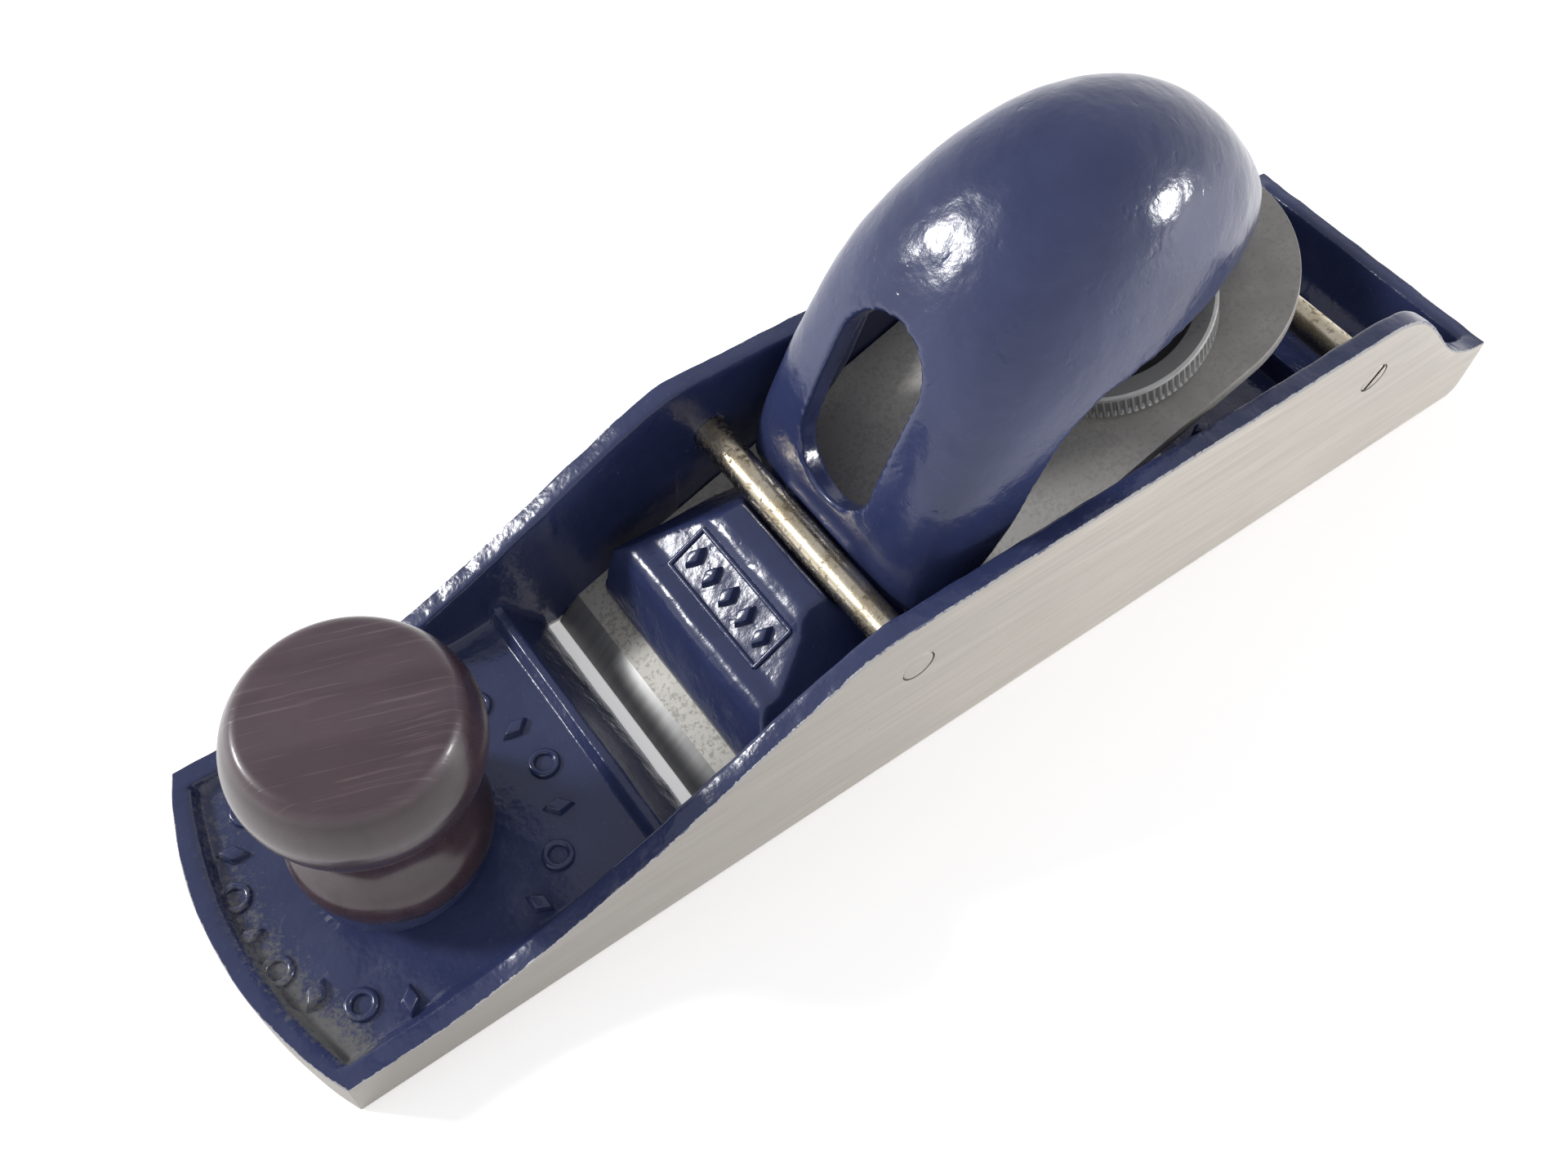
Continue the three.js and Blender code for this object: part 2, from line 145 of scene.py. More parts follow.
def trimPast(point, normal):
    # cuts off everything on the far side of a plane, and closes the cut
    bpy.ops.mesh.select_all(action="SELECT")
    bpy.ops.mesh.bisect(plane_co=point, plane_no=normal, clear_outer=True, use_fill=True)


def faceOutwards(merge=0.0):
    # in edit mode, merges vertices closer than this and turns every face outwards
    bpy.ops.mesh.select_all(action="SELECT")
    if merge:
        bpy.ops.mesh.remove_doubles(threshold=merge * mm)
    bpy.ops.mesh.normals_make_consistent(inside=False)


def mergeNear(piece, distance=0.002):
    activate(piece, edit=True)
    faceOutwards(distance)
    bpy.ops.object.mode_set(mode="OBJECT")


def finishWith(piece, kind, **settings):
    activate(piece)
    modifier = piece.modifiers.new(kind.title(), kind)
    for key, value in settings.items():
        setattr(modifier, key, value)
    bpy.ops.object.modifier_apply(modifier=modifier.name)


def bevelCorners(piece, width, segments, degrees):
    finishWith(piece, "BEVEL", width=width * mm, segments=segments, limit_method="ANGLE",
               angle_limit=math.radians(degrees))


def cutWith(piece, cutter):
    finishWith(piece, "BOOLEAN", object=cutter, operation="DIFFERENCE", solver="EXACT")
    bpy.data.objects.remove(cutter)


def smooth(piece, degrees):
    activate(piece)
    bpy.ops.object.shade_smooth_by_angle(angle=math.radians(degrees))


def joinAll(pieces, name):
    deselectAll()
    for piece in pieces:
        piece.select_set(True)
    bpy.context.view_layer.objects.active = pieces[0]
    bpy.ops.object.join()
    return newest(name)


def drawOutline(name, points):
    # extrudes one corner of a small plane from point to point, and stays in edit mode
    deselectAll()
    bpy.ops.mesh.primitive_plane_add(size=mm)
    piece = newest(name)
    bpy.ops.object.mode_set(mode="EDIT")
    bpy.ops.mesh.delete(type="EDGE_FACE")
    pick(piece, "VERT", lambda point: not (point.x < 0 and point.y < 0))
    bpy.ops.mesh.delete(type="VERT")
    bpy.ops.mesh.select_all(action="SELECT")
    here = Vector((-0.5, -0.5, 0))
    for number, point in enumerate(points):
        step = (Vector(point) - here) * mm
        if number == 0:
            bpy.ops.transform.translate(value=step)
        else:
            bpy.ops.mesh.extrude_region_move(TRANSFORM_OT_translate={"value": step})
        here = Vector(point)
    bpy.ops.mesh.select_all(action="SELECT")
    return piece


def spunPiece(name, profile, steps, bottom=0.0, centre=(0, 0)):
    # turns a closed or axis-to-axis outline of (radius, height) about Z
    piece = drawOutline(name, [(radius, 0, height) for radius, height in profile])
    bpy.ops.mesh.spin(steps=steps, angle=math.tau, center=(0, 0, 0), axis=(0, 0, 1))
    faceOutwards(0.002)
    bpy.ops.transform.translate(value=(centre[0] * mm, centre[1] * mm, bottom * mm))
    bpy.ops.object.mode_set(mode="OBJECT")
    return piece


def outlinePrism(name, outline, low, high):
    # an outline of (x, z) points pushed through from y = low to y = high
    piece = drawOutline(name, [(x, low, z) for x, z in outline])
    bpy.ops.mesh.edge_face_add()
    bpy.ops.mesh.extrude_region_move(TRANSFORM_OT_translate={"value": (0, (high - low) * mm, 0)})
    faceOutwards()
    bpy.ops.object.mode_set(mode="OBJECT")
    return piece


def onBed(along, above):
    # a point along and above the blade's back
    c, s = math.cos(plane["bed"]), math.sin(plane["bed"])
    return (plane["edgeX"] + along * c - above * s, plane["edgeZ"] + along * s + above * c)


def bedPlace(lean=0.0, along=0.0, above=0.0):
    x, z = onBed(along, above)
    return Matrix.Translation((x * mm, 0, z * mm)) @ Matrix.Rotation(-plane["bed"] - lean, 4, "Y")


def curveHeight(points, x):
    # height of a run of (x, z) points at x
    for (x0, z0), (x1, z1) in zip(points, points[1:]):
        if x0 <= x <= x1:
            return z0 + (z1 - z0) * (x - x0) / max(x1 - x0, 1e-9)
    return points[0][1] if x < points[0][0] else points[-1][1]


# node helpers
def feed(tree, socket, value):
    # links a node's output to the socket, or sets the socket's own value
    if isinstance(value, bpy.types.NodeSocket):
        tree.links.new(value, socket)
    else:
        socket.default_value = value


def addNode(tree, kind, inputs, **settings):
    node = tree.nodes.new("ShaderNode" + kind)
    for key, value in settings.items():
        setattr(node, key, value)
    for key, value in inputs.items():
        feed(tree, node.inputs[key], value)
    return node


def ramp(tree, source, low, high, start=0.0, end=1.0):
    # goes from start at low to end at high
    inputs = {"Value": source, "From Min": low, "From Max": high, "To Min": start, "To Max": end}
    return addNode(tree, "MapRange", inputs).outputs["Result"]


def fade(tree, source, low, high):
    return ramp(tree, source, low, high, 1.0, 0.0)


def noiseAt(tree, vector, scale, detail=3.0, roughness=0.55):
    inputs = {"Vector": vector, "Scale": scale, "Detail": detail, "Roughness": roughness}
    return addNode(tree, "TexNoise", inputs).outputs["Fac"]


def times(tree, a, b):
    return addNode(tree, "Math", {0: a, 1: b}, operation="MULTIPLY").outputs[0]


def plus(tree, a, b):
    return addNode(tree, "Math", {0: a, 1: b}, operation="ADD").outputs[0]


def minus(tree, a, b):
    return addNode(tree, "Math", {0: a, 1: b}, operation="SUBTRACT").outputs[0]


def axesOf(tree, vector):
    return addNode(tree, "SeparateXYZ", {0: vector}).outputs


def mixColour(tree, factor, a, b):
    # inputs 6 and 7 and output 2 are the node's colours
    return addNode(tree, "Mix", {"Factor": factor, 6: a, 7: b}, data_type="RGBA").outputs[2]


def tinted(tree, colour, mask, amount, tint):
    return mixColour(tree, times(tree, mask, amount), colour, tint)


def bumpFrom(tree, height, strength, distance):
    inputs = {"Height": height, "Strength": strength, "Distance": distance * mm}
    return addNode(tree, "Bump", inputs).outputs["Normal"]


# node groups shared by the materials
def newGroup(name, inputs, outputs):
    tree = bpy.data.node_groups.new(name, "ShaderNodeTree")
    for label, kind, value in [("Vector", "Vector", None)] + inputs:
        socket = tree.interface.new_socket(name=label, in_out="INPUT", socket_type="NodeSocket" + kind)
        if value is not None:
            socket.default_value = value
    for label in outputs:
        tree.interface.new_socket(name=label, in_out="OUTPUT", socket_type="NodeSocketFloat")
    return tree, tree.nodes.new("NodeGroupInput").outputs, tree.nodes.new("NodeGroupOutput").inputs


skinNoise = dict(peel=1300.0, crater=420.0, craterEdge=(0.64, 0.80), craterDepth=-0.4, tone=70.0)


def castSkinGroup():
    # the lumpy skin of a sand casting under thick paint, with the small craters left by the sand
    s = skinNoise
    inputs = [("Lump Scale", "Float", 260.0), ("Orange Peel", "Float", 0.35)]
    tree, given, out = newGroup("castSkin", inputs, ["Height", "Tone"])
    place = given["Vector"]
    lumps = noiseAt(tree, place, given["Lump Scale"], 2.0)
    peel = times(tree, noiseAt(tree, place, s["peel"]), given["Orange Peel"])
    craters = ramp(tree, noiseAt(tree, place, s["crater"], 2.0), *s["craterEdge"])
    height = plus(tree, plus(tree, lumps, peel), times(tree, craters, s["craterDepth"]))
    feed(tree, out["Height"], height)
    feed(tree, out["Tone"], noiseAt(tree, place, s["tone"], 4.0))
    return tree


chipNoise = dict(speck=1100.0, speckEdge=(0.35, 0.75), speckShare=0.6,
                 patch=190.0, patchEdge=(0.35, 0.65), patchShare=0.4, softness=0.12)


def chippedEdgeGroup():
    # where paint is knocked off: worn edges, broken up by noise
    s = chipNoise
    inputs = [("Wear", "Float", 0.0), ("Amount", "Float", 1.0)]
    tree, given, out = newGroup("chippedEdge", inputs, ["Mask"])
    specks = ramp(tree, noiseAt(tree, given["Vector"], s["speck"], 3.0, 0.7), *s["speckEdge"])
    patches = ramp(tree, noiseAt(tree, given["Vector"], s["patch"], 2.0), *s["patchEdge"])
    broken = plus(tree, times(tree, specks, s["speckShare"]), times(tree, patches, s["patchShare"]))
    mask = ramp(tree, minus(tree, plus(tree, broken, given["Wear"]), 1.0), 0.0, s["softness"])
    feed(tree, out["Mask"], times(tree, mask, given["Amount"]))
    return tree


speckNoise = dict(cloud=180.0, cloudShare=0.35, softness=0.1)


def speckGroup():
    # dark pits and bright specks of worn metal
    s = speckNoise
    inputs = [("Scale", "Float", 900.0), ("Cover", "Float", 0.5)]
    tree, given, out = newGroup("metalSpecks", inputs, ["Pits", "Cloud"])
    fine = noiseAt(tree, given["Vector"], given["Scale"], 4.0, 0.7)
    cloud = noiseAt(tree, given["Vector"], s["cloud"])
    over = minus(tree, plus(tree, fine, times(tree, cloud, s["cloudShare"])), given["Cover"])
    feed(tree, out["Pits"], ramp(tree, over, 0.0, s["softness"]))
    feed(tree, out["Cloud"], cloud)
    return tree


def grainGroup():
    # fine straight lines left by grinding, sanding or use, along the local X of the vector
    inputs = [("Stretch", "Vector", (14, 900, 900)), ("Seed", "Float", 0.0)]
    tree, given, out = newGroup("fineLines", inputs, ["Lines", "Streaks"])
    scaled = addNode(tree, "VectorMath", {0: given["Vector"], 1: given["Stretch"]}, operation="MULTIPLY")
    moved = addNode(tree, "VectorMath", {0: scaled.outputs[0], 1: given["Seed"]}, operation="ADD")
    broader = addNode(tree, "VectorMath", {0: moved.outputs[0], 1: (0.5, 0.12, 0.12)}, operation="MULTIPLY")
    feed(tree, out["Lines"], noiseAt(tree, moved.outputs[0], 1.0, 3.0, 0.6))
    feed(tree, out["Streaks"], noiseAt(tree, broader.outputs[0], 1.0, 2.0))
    return tree


groups = dict(castSkin=castSkinGroup(), chippedEdge=chippedEdgeGroup(), metalSpecks=speckGroup(),
              fineLines=grainGroup())


def useGroup(tree, name, inputs):
    node = tree.nodes.new("ShaderNodeGroup")
    node.node_tree = groups[name]
    for key, value in inputs.items():
        feed(tree, node.inputs[key], value)
    return node.outputs


print("node groups ready")


# materials
def newMaterial(name):
    material = bpy.data.materials.new(name)
    material.use_nodes = True
    tree = material.node_tree
    shader = tree.nodes["Principled BSDF"]
    place = tree.nodes.new("ShaderNodeTexCoord").outputs["Object"]
    return material, tree, shader, place


def setShader(tree, shader, **sockets):
    names = dict(colour="Base Color", rough="Roughness", metal="Metallic", coat="Coat Weight",
                 coatRough="Coat Roughness", ior="IOR", normal="Normal")
    for key, value in sockets.items():
        feed(tree, shader.inputs[names[key]], value)


def linesAt(tree, place, stretch, seed=0.0):
    return useGroup(tree, "fineLines", {"Vector": place, "Stretch": stretch, "Seed": seed})


def specksAt(tree, place, scale, cover):
    return useGroup(tree, "metalSpecks", {"Vector": place, "Scale": scale, "Cover": cover})


enamelLook = dict(
    deep=(0.021, 0.029, 0.084, 1), pale=(0.034, 0.044, 0.114, 1), toneRange=(0.3, 0.7), rough=(0.15, 0.27),
    iron=(0.36, 0.36, 0.37, 1), ironMetal=0.8, ironRough=0.25, rubbed=(0.13, 0.13, 0.13, 1),
    peel=0.25, lumpBump=0.7, lumpSize=0.2, coat=0.05, coatRough=0.1, ior=1.5,
)
rubbedToe = dict(
    sweep=9.0, rimX=-0.0985, reach=(0.0010, 0.0062), floor=(0.0068, 0.0078), corner=(-0.019, 0.010),
    least=0.35, cornerShare=0.65, grain=1300.0, strength=0.45, cover=(0.62, 0.86),
)


def rubbedToeMask(tree, place):
    # the floor along the toe's rim is rubbed to bare grey, most at one corner
    s = rubbedToe
    axes = axesOf(tree, place)
    sweep = times(tree, times(tree, axes["Y"], axes["Y"]), s["sweep"])
    fromRim = minus(tree, minus(tree, axes["X"], sweep), s["rimX"])
    strip = fade(tree, fromRim, *s["reach"])
    low = fade(tree, axes["Z"], *s["floor"])
    corner = plus(tree, s["least"], times(tree, fade(tree, axes["Y"], *s["corner"]), s["cornerShare"]))
    share = times(tree, times(tree, strip, low), corner)
    broken = noiseAt(tree, place, s["grain"], 4.0, 0.8)
    return ramp(tree, plus(tree, broken, times(tree, share, s["strength"])), *s["cover"])


def enamelMaterial(name, lumpScale, chips, wornToe=False):
    # blue enamel over cast iron, chipped where the wear attribute is high
    s = enamelLook
    material, tree, shader, place = newMaterial(name)
    skin = useGroup(tree, "castSkin", {"Vector": place, "Lump Scale": lumpScale, "Orange Peel": s["peel"]})
    wear = addNode(tree, "Attribute", {}, attribute_name="wear").outputs["Fac"]
    chipped = useGroup(tree, "chippedEdge", {"Vector": place, "Wear": wear, "Amount": chips})["Mask"]
    colour = mixColour(tree, ramp(tree, skin["Tone"], *s["toneRange"]), s["deep"], s["pale"])
    if wornToe:
        colour = mixColour(tree, rubbedToeMask(tree, place), colour, s["rubbed"])
    colour = mixColour(tree, chipped, colour, s["iron"])
    rough = ramp(tree, skin["Tone"], *s["toneRange"], *s["rough"])
    rough = plus(tree, rough, times(tree, chipped, s["ironRough"]))
    setShader(tree, shader, colour=colour, rough=rough, metal=times(tree, chipped, s["ironMetal"]),
              coat=s["coat"], coatRough=s["coatRough"], ior=s["ior"],
              normal=bumpFrom(tree, skin["Height"], s["lumpBump"], s["lumpSize"]))
    return material


ironLook = dict(
    dark=(0.47, 0.435, 0.39, 1), light=(0.585, 0.55, 0.505, 1), lineEdge=(0.3, 0.7), stretch=(60, 900, 1300),
    streak=(0.40, 0.38, 0.35, 1), streakEdge=(0.35, 0.75), streakShare=0.3,
    pit=(0.2, 0.18, 0.16, 1), pitScale=700.0, pitCover=0.86, pitShare=0.3,
    toeEnd=(0.20, 0.19, 0.18, 1), toeFade=(-0.085, 0.02), toeShare=0.66, rough=(0.38, 0.56), metal=0.75,
)


def bareIronMaterial():
    # ground iron, streaked along its length and darker towards the toe
    s = ironLook
    material, tree, shader, place = newMaterial("groundIron")
    lines = linesAt(tree, place, s["stretch"])
    spots = specksAt(tree, place, s["pitScale"], s["pitCover"])
    colour = mixColour(tree, ramp(tree, lines["Lines"], *s["lineEdge"]), s["dark"], s["light"])
    streaks = ramp(tree, lines["Streaks"], *s["streakEdge"])
    colour = tinted(tree, colour, streaks, s["streakShare"], s["streak"])
    colour = tinted(tree, colour, spots["Pits"], s["pitShare"], s["pit"])
    toeward = fade(tree, axesOf(tree, place)["X"], *s["toeFade"])
    colour = tinted(tree, colour, toeward, s["toeShare"], s["toeEnd"])
    setShader(tree, shader, colour=colour, rough=ramp(tree, lines["Lines"], 0.0, 1.0, *s["rough"]),
              metal=s["metal"], normal=bumpFrom(tree, lines["Lines"], 0.12, 0.05))
    return material


rodLook = dict(
    bright=(0.70, 0.64, 0.52, 1), brown=(0.52, 0.44, 0.30, 1), brownEdge=(0.35, 0.65),
    pit=(0.10, 0.08, 0.06, 1), pitScale=1100.0, pitCover=0.70, pitShare=0.7, rough=0.24, pitRough=0.35,
)


def rodMaterial():
    # bright steel rod, browned and pitted by age
    s = rodLook
    material, tree, shader, place = newMaterial("rodSteel")
    spots = specksAt(tree, place, s["pitScale"], s["pitCover"])
    colour = mixColour(tree, ramp(tree, spots["Cloud"], *s["brownEdge"]), s["bright"], s["brown"])
    colour = tinted(tree, colour, spots["Pits"], s["pitShare"], s["pit"])
    rough = plus(tree, s["rough"], times(tree, spots["Pits"], s["pitRough"]))
    setShader(tree, shader, colour=colour, rough=rough, metal=1.0,
              normal=bumpFrom(tree, spots["Pits"], 0.2, -0.04))
    return material


bladeLook = dict(
    back=(0.26, 0.252, 0.238, 1), cloud=(0.34, 0.33, 0.315, 1), cloudEdge=(0.3, 0.7),
    # paintedSheen: a painted sheen, lighter low on the blade, standing in for light cast back from the lever
    # cap
    paintedSheen=(0.66, 0.64, 0.60, 1), paintedSheenFade=(0.005, 0.032), paintedSheenShare=0.9,
    # stripHighlight: a painted highlight on the strip of blade between the bevel and the lever cap, which
    # also gets more pits and roughness
    stripHighlight=(0.56, 0.545, 0.50, 1), stripHighlightFade=(-0.0345, -0.0325),
    pit=(0.13, 0.12, 0.11, 1), pitScale=1500.0, pitCover=0.68, pitShare=0.22, stripHighlightPits=0.25,
    stretch=(60, 500, 60), rough=0.40, lineRough=0.16, stripHighlightRough=0.15, metal=0.3,
)


def bladeMaterial():
    # satin grey back, brightened towards its lower end by a painted sheen, and finely pitted before the edge,
    # where a painted highlight lightens it
    s = bladeLook
    material, tree, shader, place = newMaterial("bladeSteel")
    spots = specksAt(tree, place, s["pitScale"], s["pitCover"])
    lines = linesAt(tree, place, s["stretch"], 3.0)
    along = axesOf(tree, place)["X"]
    # the strip before the edge, where a painted highlight is mixed in
    stripHighlight = fade(tree, along, *s["stripHighlightFade"])
    colour = mixColour(tree, ramp(tree, spots["Cloud"], *s["cloudEdge"]), s["back"], s["cloud"])
    # painted sheen: lighter towards the lower end of the blade
    colour = tinted(tree, colour, fade(tree, along, *s["paintedSheenFade"]), s["paintedSheenShare"], s["paintedSheen"])
    colour = mixColour(tree, stripHighlight, colour, s["stripHighlight"])
    pitShare = plus(tree, s["pitShare"], times(tree, stripHighlight, s["stripHighlightPits"]))
    colour = tinted(tree, colour, spots["Pits"], pitShare, s["pit"])
    rough = plus(tree, s["rough"], times(tree, lines["Lines"], s["lineRough"]))
    rough = plus(tree, rough, times(tree, stripHighlight, s["stripHighlightRough"]))
    setShader(tree, shader, colour=colour, rough=rough, metal=s["metal"],
              normal=bumpFrom(tree, spots["Pits"], 0.15, -0.03))
    return material


bevelLook = dict(dark=(0.26, 0.26, 0.26, 1), light=(0.34, 0.34, 0.335, 1), lineEdge=(0.3, 0.7),
                 stretch=(30, 900, 30), rough=0.36, lineRough=0.14, metal=0.5)


def bevelMaterial():
    s = bevelLook
    material, tree, shader, place = newMaterial("groundBevel")
    lines = linesAt(tree, place, s["stretch"], 8.0)
    rough = plus(tree, s["rough"], times(tree, lines["Lines"], s["lineRough"]))
    colour = mixColour(tree, ramp(tree, lines["Lines"], *s["lineEdge"]), s["dark"], s["light"])
    setShader(tree, shader, colour=colour, rough=rough, metal=s["metal"],
              normal=bumpFrom(tree, lines["Lines"], 0.05, 0.03))
    return material


turnedMetals = dict(  # name, light, dark, roughness, metallic
    wheel=("wheelSteel", (0.40, 0.40, 0.40, 1), (0.30, 0.30, 0.295, 1), 0.38, 0.5),
    # the wheel's recess gets a dark material: painted shade for the shadow the palm rest casts into it
    shadedRecess=("wheelRecessShade", (0.085, 0.085, 0.09, 1), (0.05, 0.05, 0.055, 1), 0.45, 0.4),
    screw=("screwSteel", (0.40, 0.40, 0.39, 1), (0.28, 0.28, 0.27, 1), 0.25, 0.95),
    brass=("insertBrass", (0.72, 0.52, 0.22, 1), (0.55, 0.38, 0.15, 1), 0.25, 0.95),
)


def turnedMetalMaterial(name, light, dark, rough, metal):
    material, tree, shader, place = newMaterial(name)
    spots = specksAt(tree, place, 800.0, 0.78)
    colour = mixColour(tree, ramp(tree, spots["Cloud"], 0.3, 0.7), light, dark)
    pit = tuple(part * 0.4 for part in dark[:3]) + (1,)
    colour = tinted(tree, colour, spots["Pits"], 0.35, pit)
    setShader(tree, shader, colour=colour, rough=plus(tree, rough, times(tree, spots["Cloud"], 0.2)),
              metal=metal, normal=bumpFrom(tree, spots["Pits"], 0.12, -0.03))
    return material


knobLook = dict(
    dark=(0.021, 0.013, 0.017, 1), light=(0.046, 0.027, 0.034, 1),
    streakEdge=(0.3, 0.7), stretch=(55, 520, 520),
    pore=(0.018, 0.010, 0.011, 1), poreEdge=(0.5, 0.72), poreShare=0.6,
    top=(0.098, 0.064, 0.080, 1), topFrom=(0.0385, 0.0398), topShare=0.55, topRough=0.1,
    band=(0.036, 0.018, 0.022, 1), bandEdge=(0.45, 0.62), bandShare=0.45,
    scratch=(0.20, 0.15, 0.155, 1), scratchEdge=(0.56, 0.70), scratchShare=0.35, scratchDeep=1.2,
    scratchTurn=19, scratchStretch=(70, 1900, 200), rough=0.17, patchRough=0.2, patch=160.0,
    coat=0.22, coatRough=0.14,
)


def knobMaterial():
    # dark stained hardwood: long pores up the knob, and a top rubbed with straight scratches
    s = knobLook
    material, tree, shader, place = newMaterial("stainedWood")
    upright = addNode(tree, "Mapping", {"Vector": place, "Rotation": (0, math.pi / 2, 0)}).outputs[0]
    grain = linesAt(tree, upright, s["stretch"], 2.0)
    turn = (0, 0, math.radians(s["scratchTurn"]))
    turned = addNode(tree, "Mapping", {"Vector": place, "Rotation": turn}).outputs[0]
    marks = linesAt(tree, turned, s["scratchStretch"], 5.0)
    top = ramp(tree, axesOf(tree, place)["Z"], *s["topFrom"])
    scratches = times(tree, ramp(tree, marks["Lines"], *s["scratchEdge"]), top)
    bands = times(tree, ramp(tree, marks["Streaks"], *s["bandEdge"]), top)
    colour = mixColour(tree, ramp(tree, grain["Streaks"], *s["streakEdge"]), s["dark"], s["light"])
    colour = tinted(tree, colour, ramp(tree, grain["Lines"], *s["poreEdge"]), s["poreShare"], s["pore"])
    colour = tinted(tree, colour, top, s["topShare"], s["top"])
    colour = tinted(tree, colour, bands, s["bandShare"], s["band"])
    colour = tinted(tree, colour, scratches, s["scratchShare"], s["scratch"])
    rough = plus(tree, s["rough"], times(tree, noiseAt(tree, place, s["patch"], 4.0), s["patchRough"]))
    rough = plus(tree, rough, times(tree, top, s["topRough"]))
    bumps = plus(tree, grain["Lines"], times(tree, scratches, s["scratchDeep"]))
    setShader(tree, shader, colour=colour, rough=rough, metal=0.0, coat=s["coat"], coatRough=s["coatRough"],
              normal=bumpFrom(tree, bumps, 0.25, 0.06))
    return material


looks = dict(
    bodyEnamel=enamelMaterial("bodyEnamel", 420.0, 1.0, wornToe=True),
    capEnamel=enamelMaterial("capEnamel", 260.0, 0.35),
    iron=bareIronMaterial(),
    rod=rodMaterial(),
    blade=bladeMaterial(),
    bevel=bevelMaterial(),
    knob=knobMaterial(),
)
for metalName, settings in turnedMetals.items():
    looks[metalName] = turnedMetalMaterial(*settings)
print("materials ready")


# body casting
bodyShape = dict(
    rim=7.8, rimWidth=3.0, toeRadius=56, toeFade=30, toeFloor=(5.2, 9.0),
    ridge=10.8, ridgeWidth=1.2, ridgeFoot=0.8, ridgeFromMouth=6.0,
    mouthGap=1.9, mouthEdge=1.2, lip=0.55, bedRun=18.5, bullBedRun=16.5, pan=3.6, padStep=0.4, bridge=9.0,
    heel=11.6, heelWall=3.0, heelFloor=4.2, heelRound=2.0, boss=(11.2, 8.0), stud=3.3,
)
frontSweep = dict(rimEnd=13.6, rimHandle=41.6, rimRise=1.2, topHandle=14.2, top=4.2)
rearSweep = dict(top=1.4, topHandle=11.6, heelHandle=15.6, heelRise=1.9, heelEnd=1.2)
cheekRows = dict(  # places across the body to slice it at, and where a cheek's section turns between them
    outside=0.4, inside=(0.7, 0.15, -0.1, -0.3, -0.8, -1.6), floor=(14, 9, 4),
    top=-0.6, edge=-0.12, side=0.15, foot=0.35, fillet=0.9,
)
# the height of each step is a share of the wall's depth, up to a most
cheekSteps = dict(edge=0.175, side=(1.2, 0.35), foot=(1.8, 0.5), fillet=(0.5, 0.15))


def cheekLine():
    # the top edge of a cheek: level toe rim, sweep up, level top, sweep down to the heel
    s, p, f, r = bodyShape, plane, frontSweep, rearSweep
    front, rear, toe, heel, top = p["frontRodX"], p["rearRodX"], p["toe"], p["heel"], p["cheekTop"]
    up = [(toe + f["rimEnd"], s["rim"]), (toe + f["rimHandle"], s["rim"] + f["rimRise"]),
          (front - f["topHandle"], top), (front - f["top"], top)]
    down = [(rear - r["top"], top), (rear + r["topHandle"], top),
            (heel - r["heelHandle"], s["heel"] + r["heelRise"]), (heel - r["heelEnd"], s["heel"])]
    line = [(toe, s["rim"])]
    for bend in (up, down):
        knots = [Vector((x, 0, z)) for x, z in bend]
        line += [(point.x, point.z) for point in geometry.interpolate_bezier(*knots, 24)]
    return line + [(heel, s["heel"])]


def floorLine():
    # the floor from toe to heel, and the two spans that the mouths open
    s, p = bodyShape, plane
    rise = math.tan(p["bed"])
    drop = p["seat"] / math.cos(p["bed"])

    def bed(x):
        return (x - p["edgeX"]) * rise + p["edgeZ"] - drop

    def bullBed(x):
        return (p["bullX"] - x) * rise + p["edgeZ"] - drop

    lipRun = (s["lip"] + drop - p["edgeZ"]) / rise
    mouthFront, bullFront = p["edgeX"] - s["mouthGap"], p["bullX"] + s["mouthGap"]
    mainLip, bullLip = p["edgeX"] + lipRun, p["bullX"] - lipRun
    ridgeX = mouthFront - s["ridgeFromMouth"]
    peak, reach = (p["edgeX"] + p["bullX"]) / 2, s["bridge"] / 2
    bedEnd, bullEnd, step = mainLip + s["bedRun"], bullLip - s["bullBedRun"], s["padStep"]
    line = [
        (p["toe"], s["toeFloor"][0]), (ridgeX - s["ridgeWidth"] - s["ridgeFoot"], s["toeFloor"][1]),
        (ridgeX - s["ridgeWidth"], s["ridge"]), (ridgeX, s["ridge"]), (mouthFront, s["mouthEdge"]),
        (mainLip, s["lip"]), (bedEnd, bed(bedEnd)), (bedEnd + step, s["pan"]),
        (peak - reach - step, s["pan"]), (peak - reach, bed(peak - reach)), (peak, bed(peak)),
        (peak + reach, bullBed(peak + reach)), (peak + reach + step, s["pan"]),
        (bullEnd - step, s["pan"]), (bullEnd, bullBed(bullEnd)), (bullLip, s["lip"]),
        (bullFront, s["mouthEdge"]), (p["heel"] - s["heelWall"], s["heelFloor"]), (p["heel"], s["heelFloor"]),
    ]
    return line, [(mouthFront, mainLip), (bullLip, bullFront)]


def toeCurve(y):
    return bodyShape["toeRadius"] - math.sqrt(bodyShape["toeRadius"] ** 2 - y * y)


def bodySlices(floors):
    # where the outline or the floor turns, and even steps between
    s, p = bodyShape, plane
    rimEnd, wallStart = p["toe"] + s["rimWidth"], p["heel"] - s["heelWall"]
    slices = {p["toe"] + 0.5, p["heel"] - 0.5}
    for step in (-0.5, 0.0, 0.5, 1.2):
        slices.update((rimEnd + step, wallStart - step))
    slices.update(x for x, z in floors[1:-2])
    for x, z in floors[1:4] + floors[6:15]:
        slices.update((x - 0.6, x + 0.6))
    slices = sorted(slices)
    ends, stride, nearest = 4, 2.4, 1.0
    x = p["toe"] + ends
    while x < p["heel"] - ends:
        if min(abs(x - other) for other in slices) > nearest:
            slices.append(x)
        x += stride
    return sorted(slices)


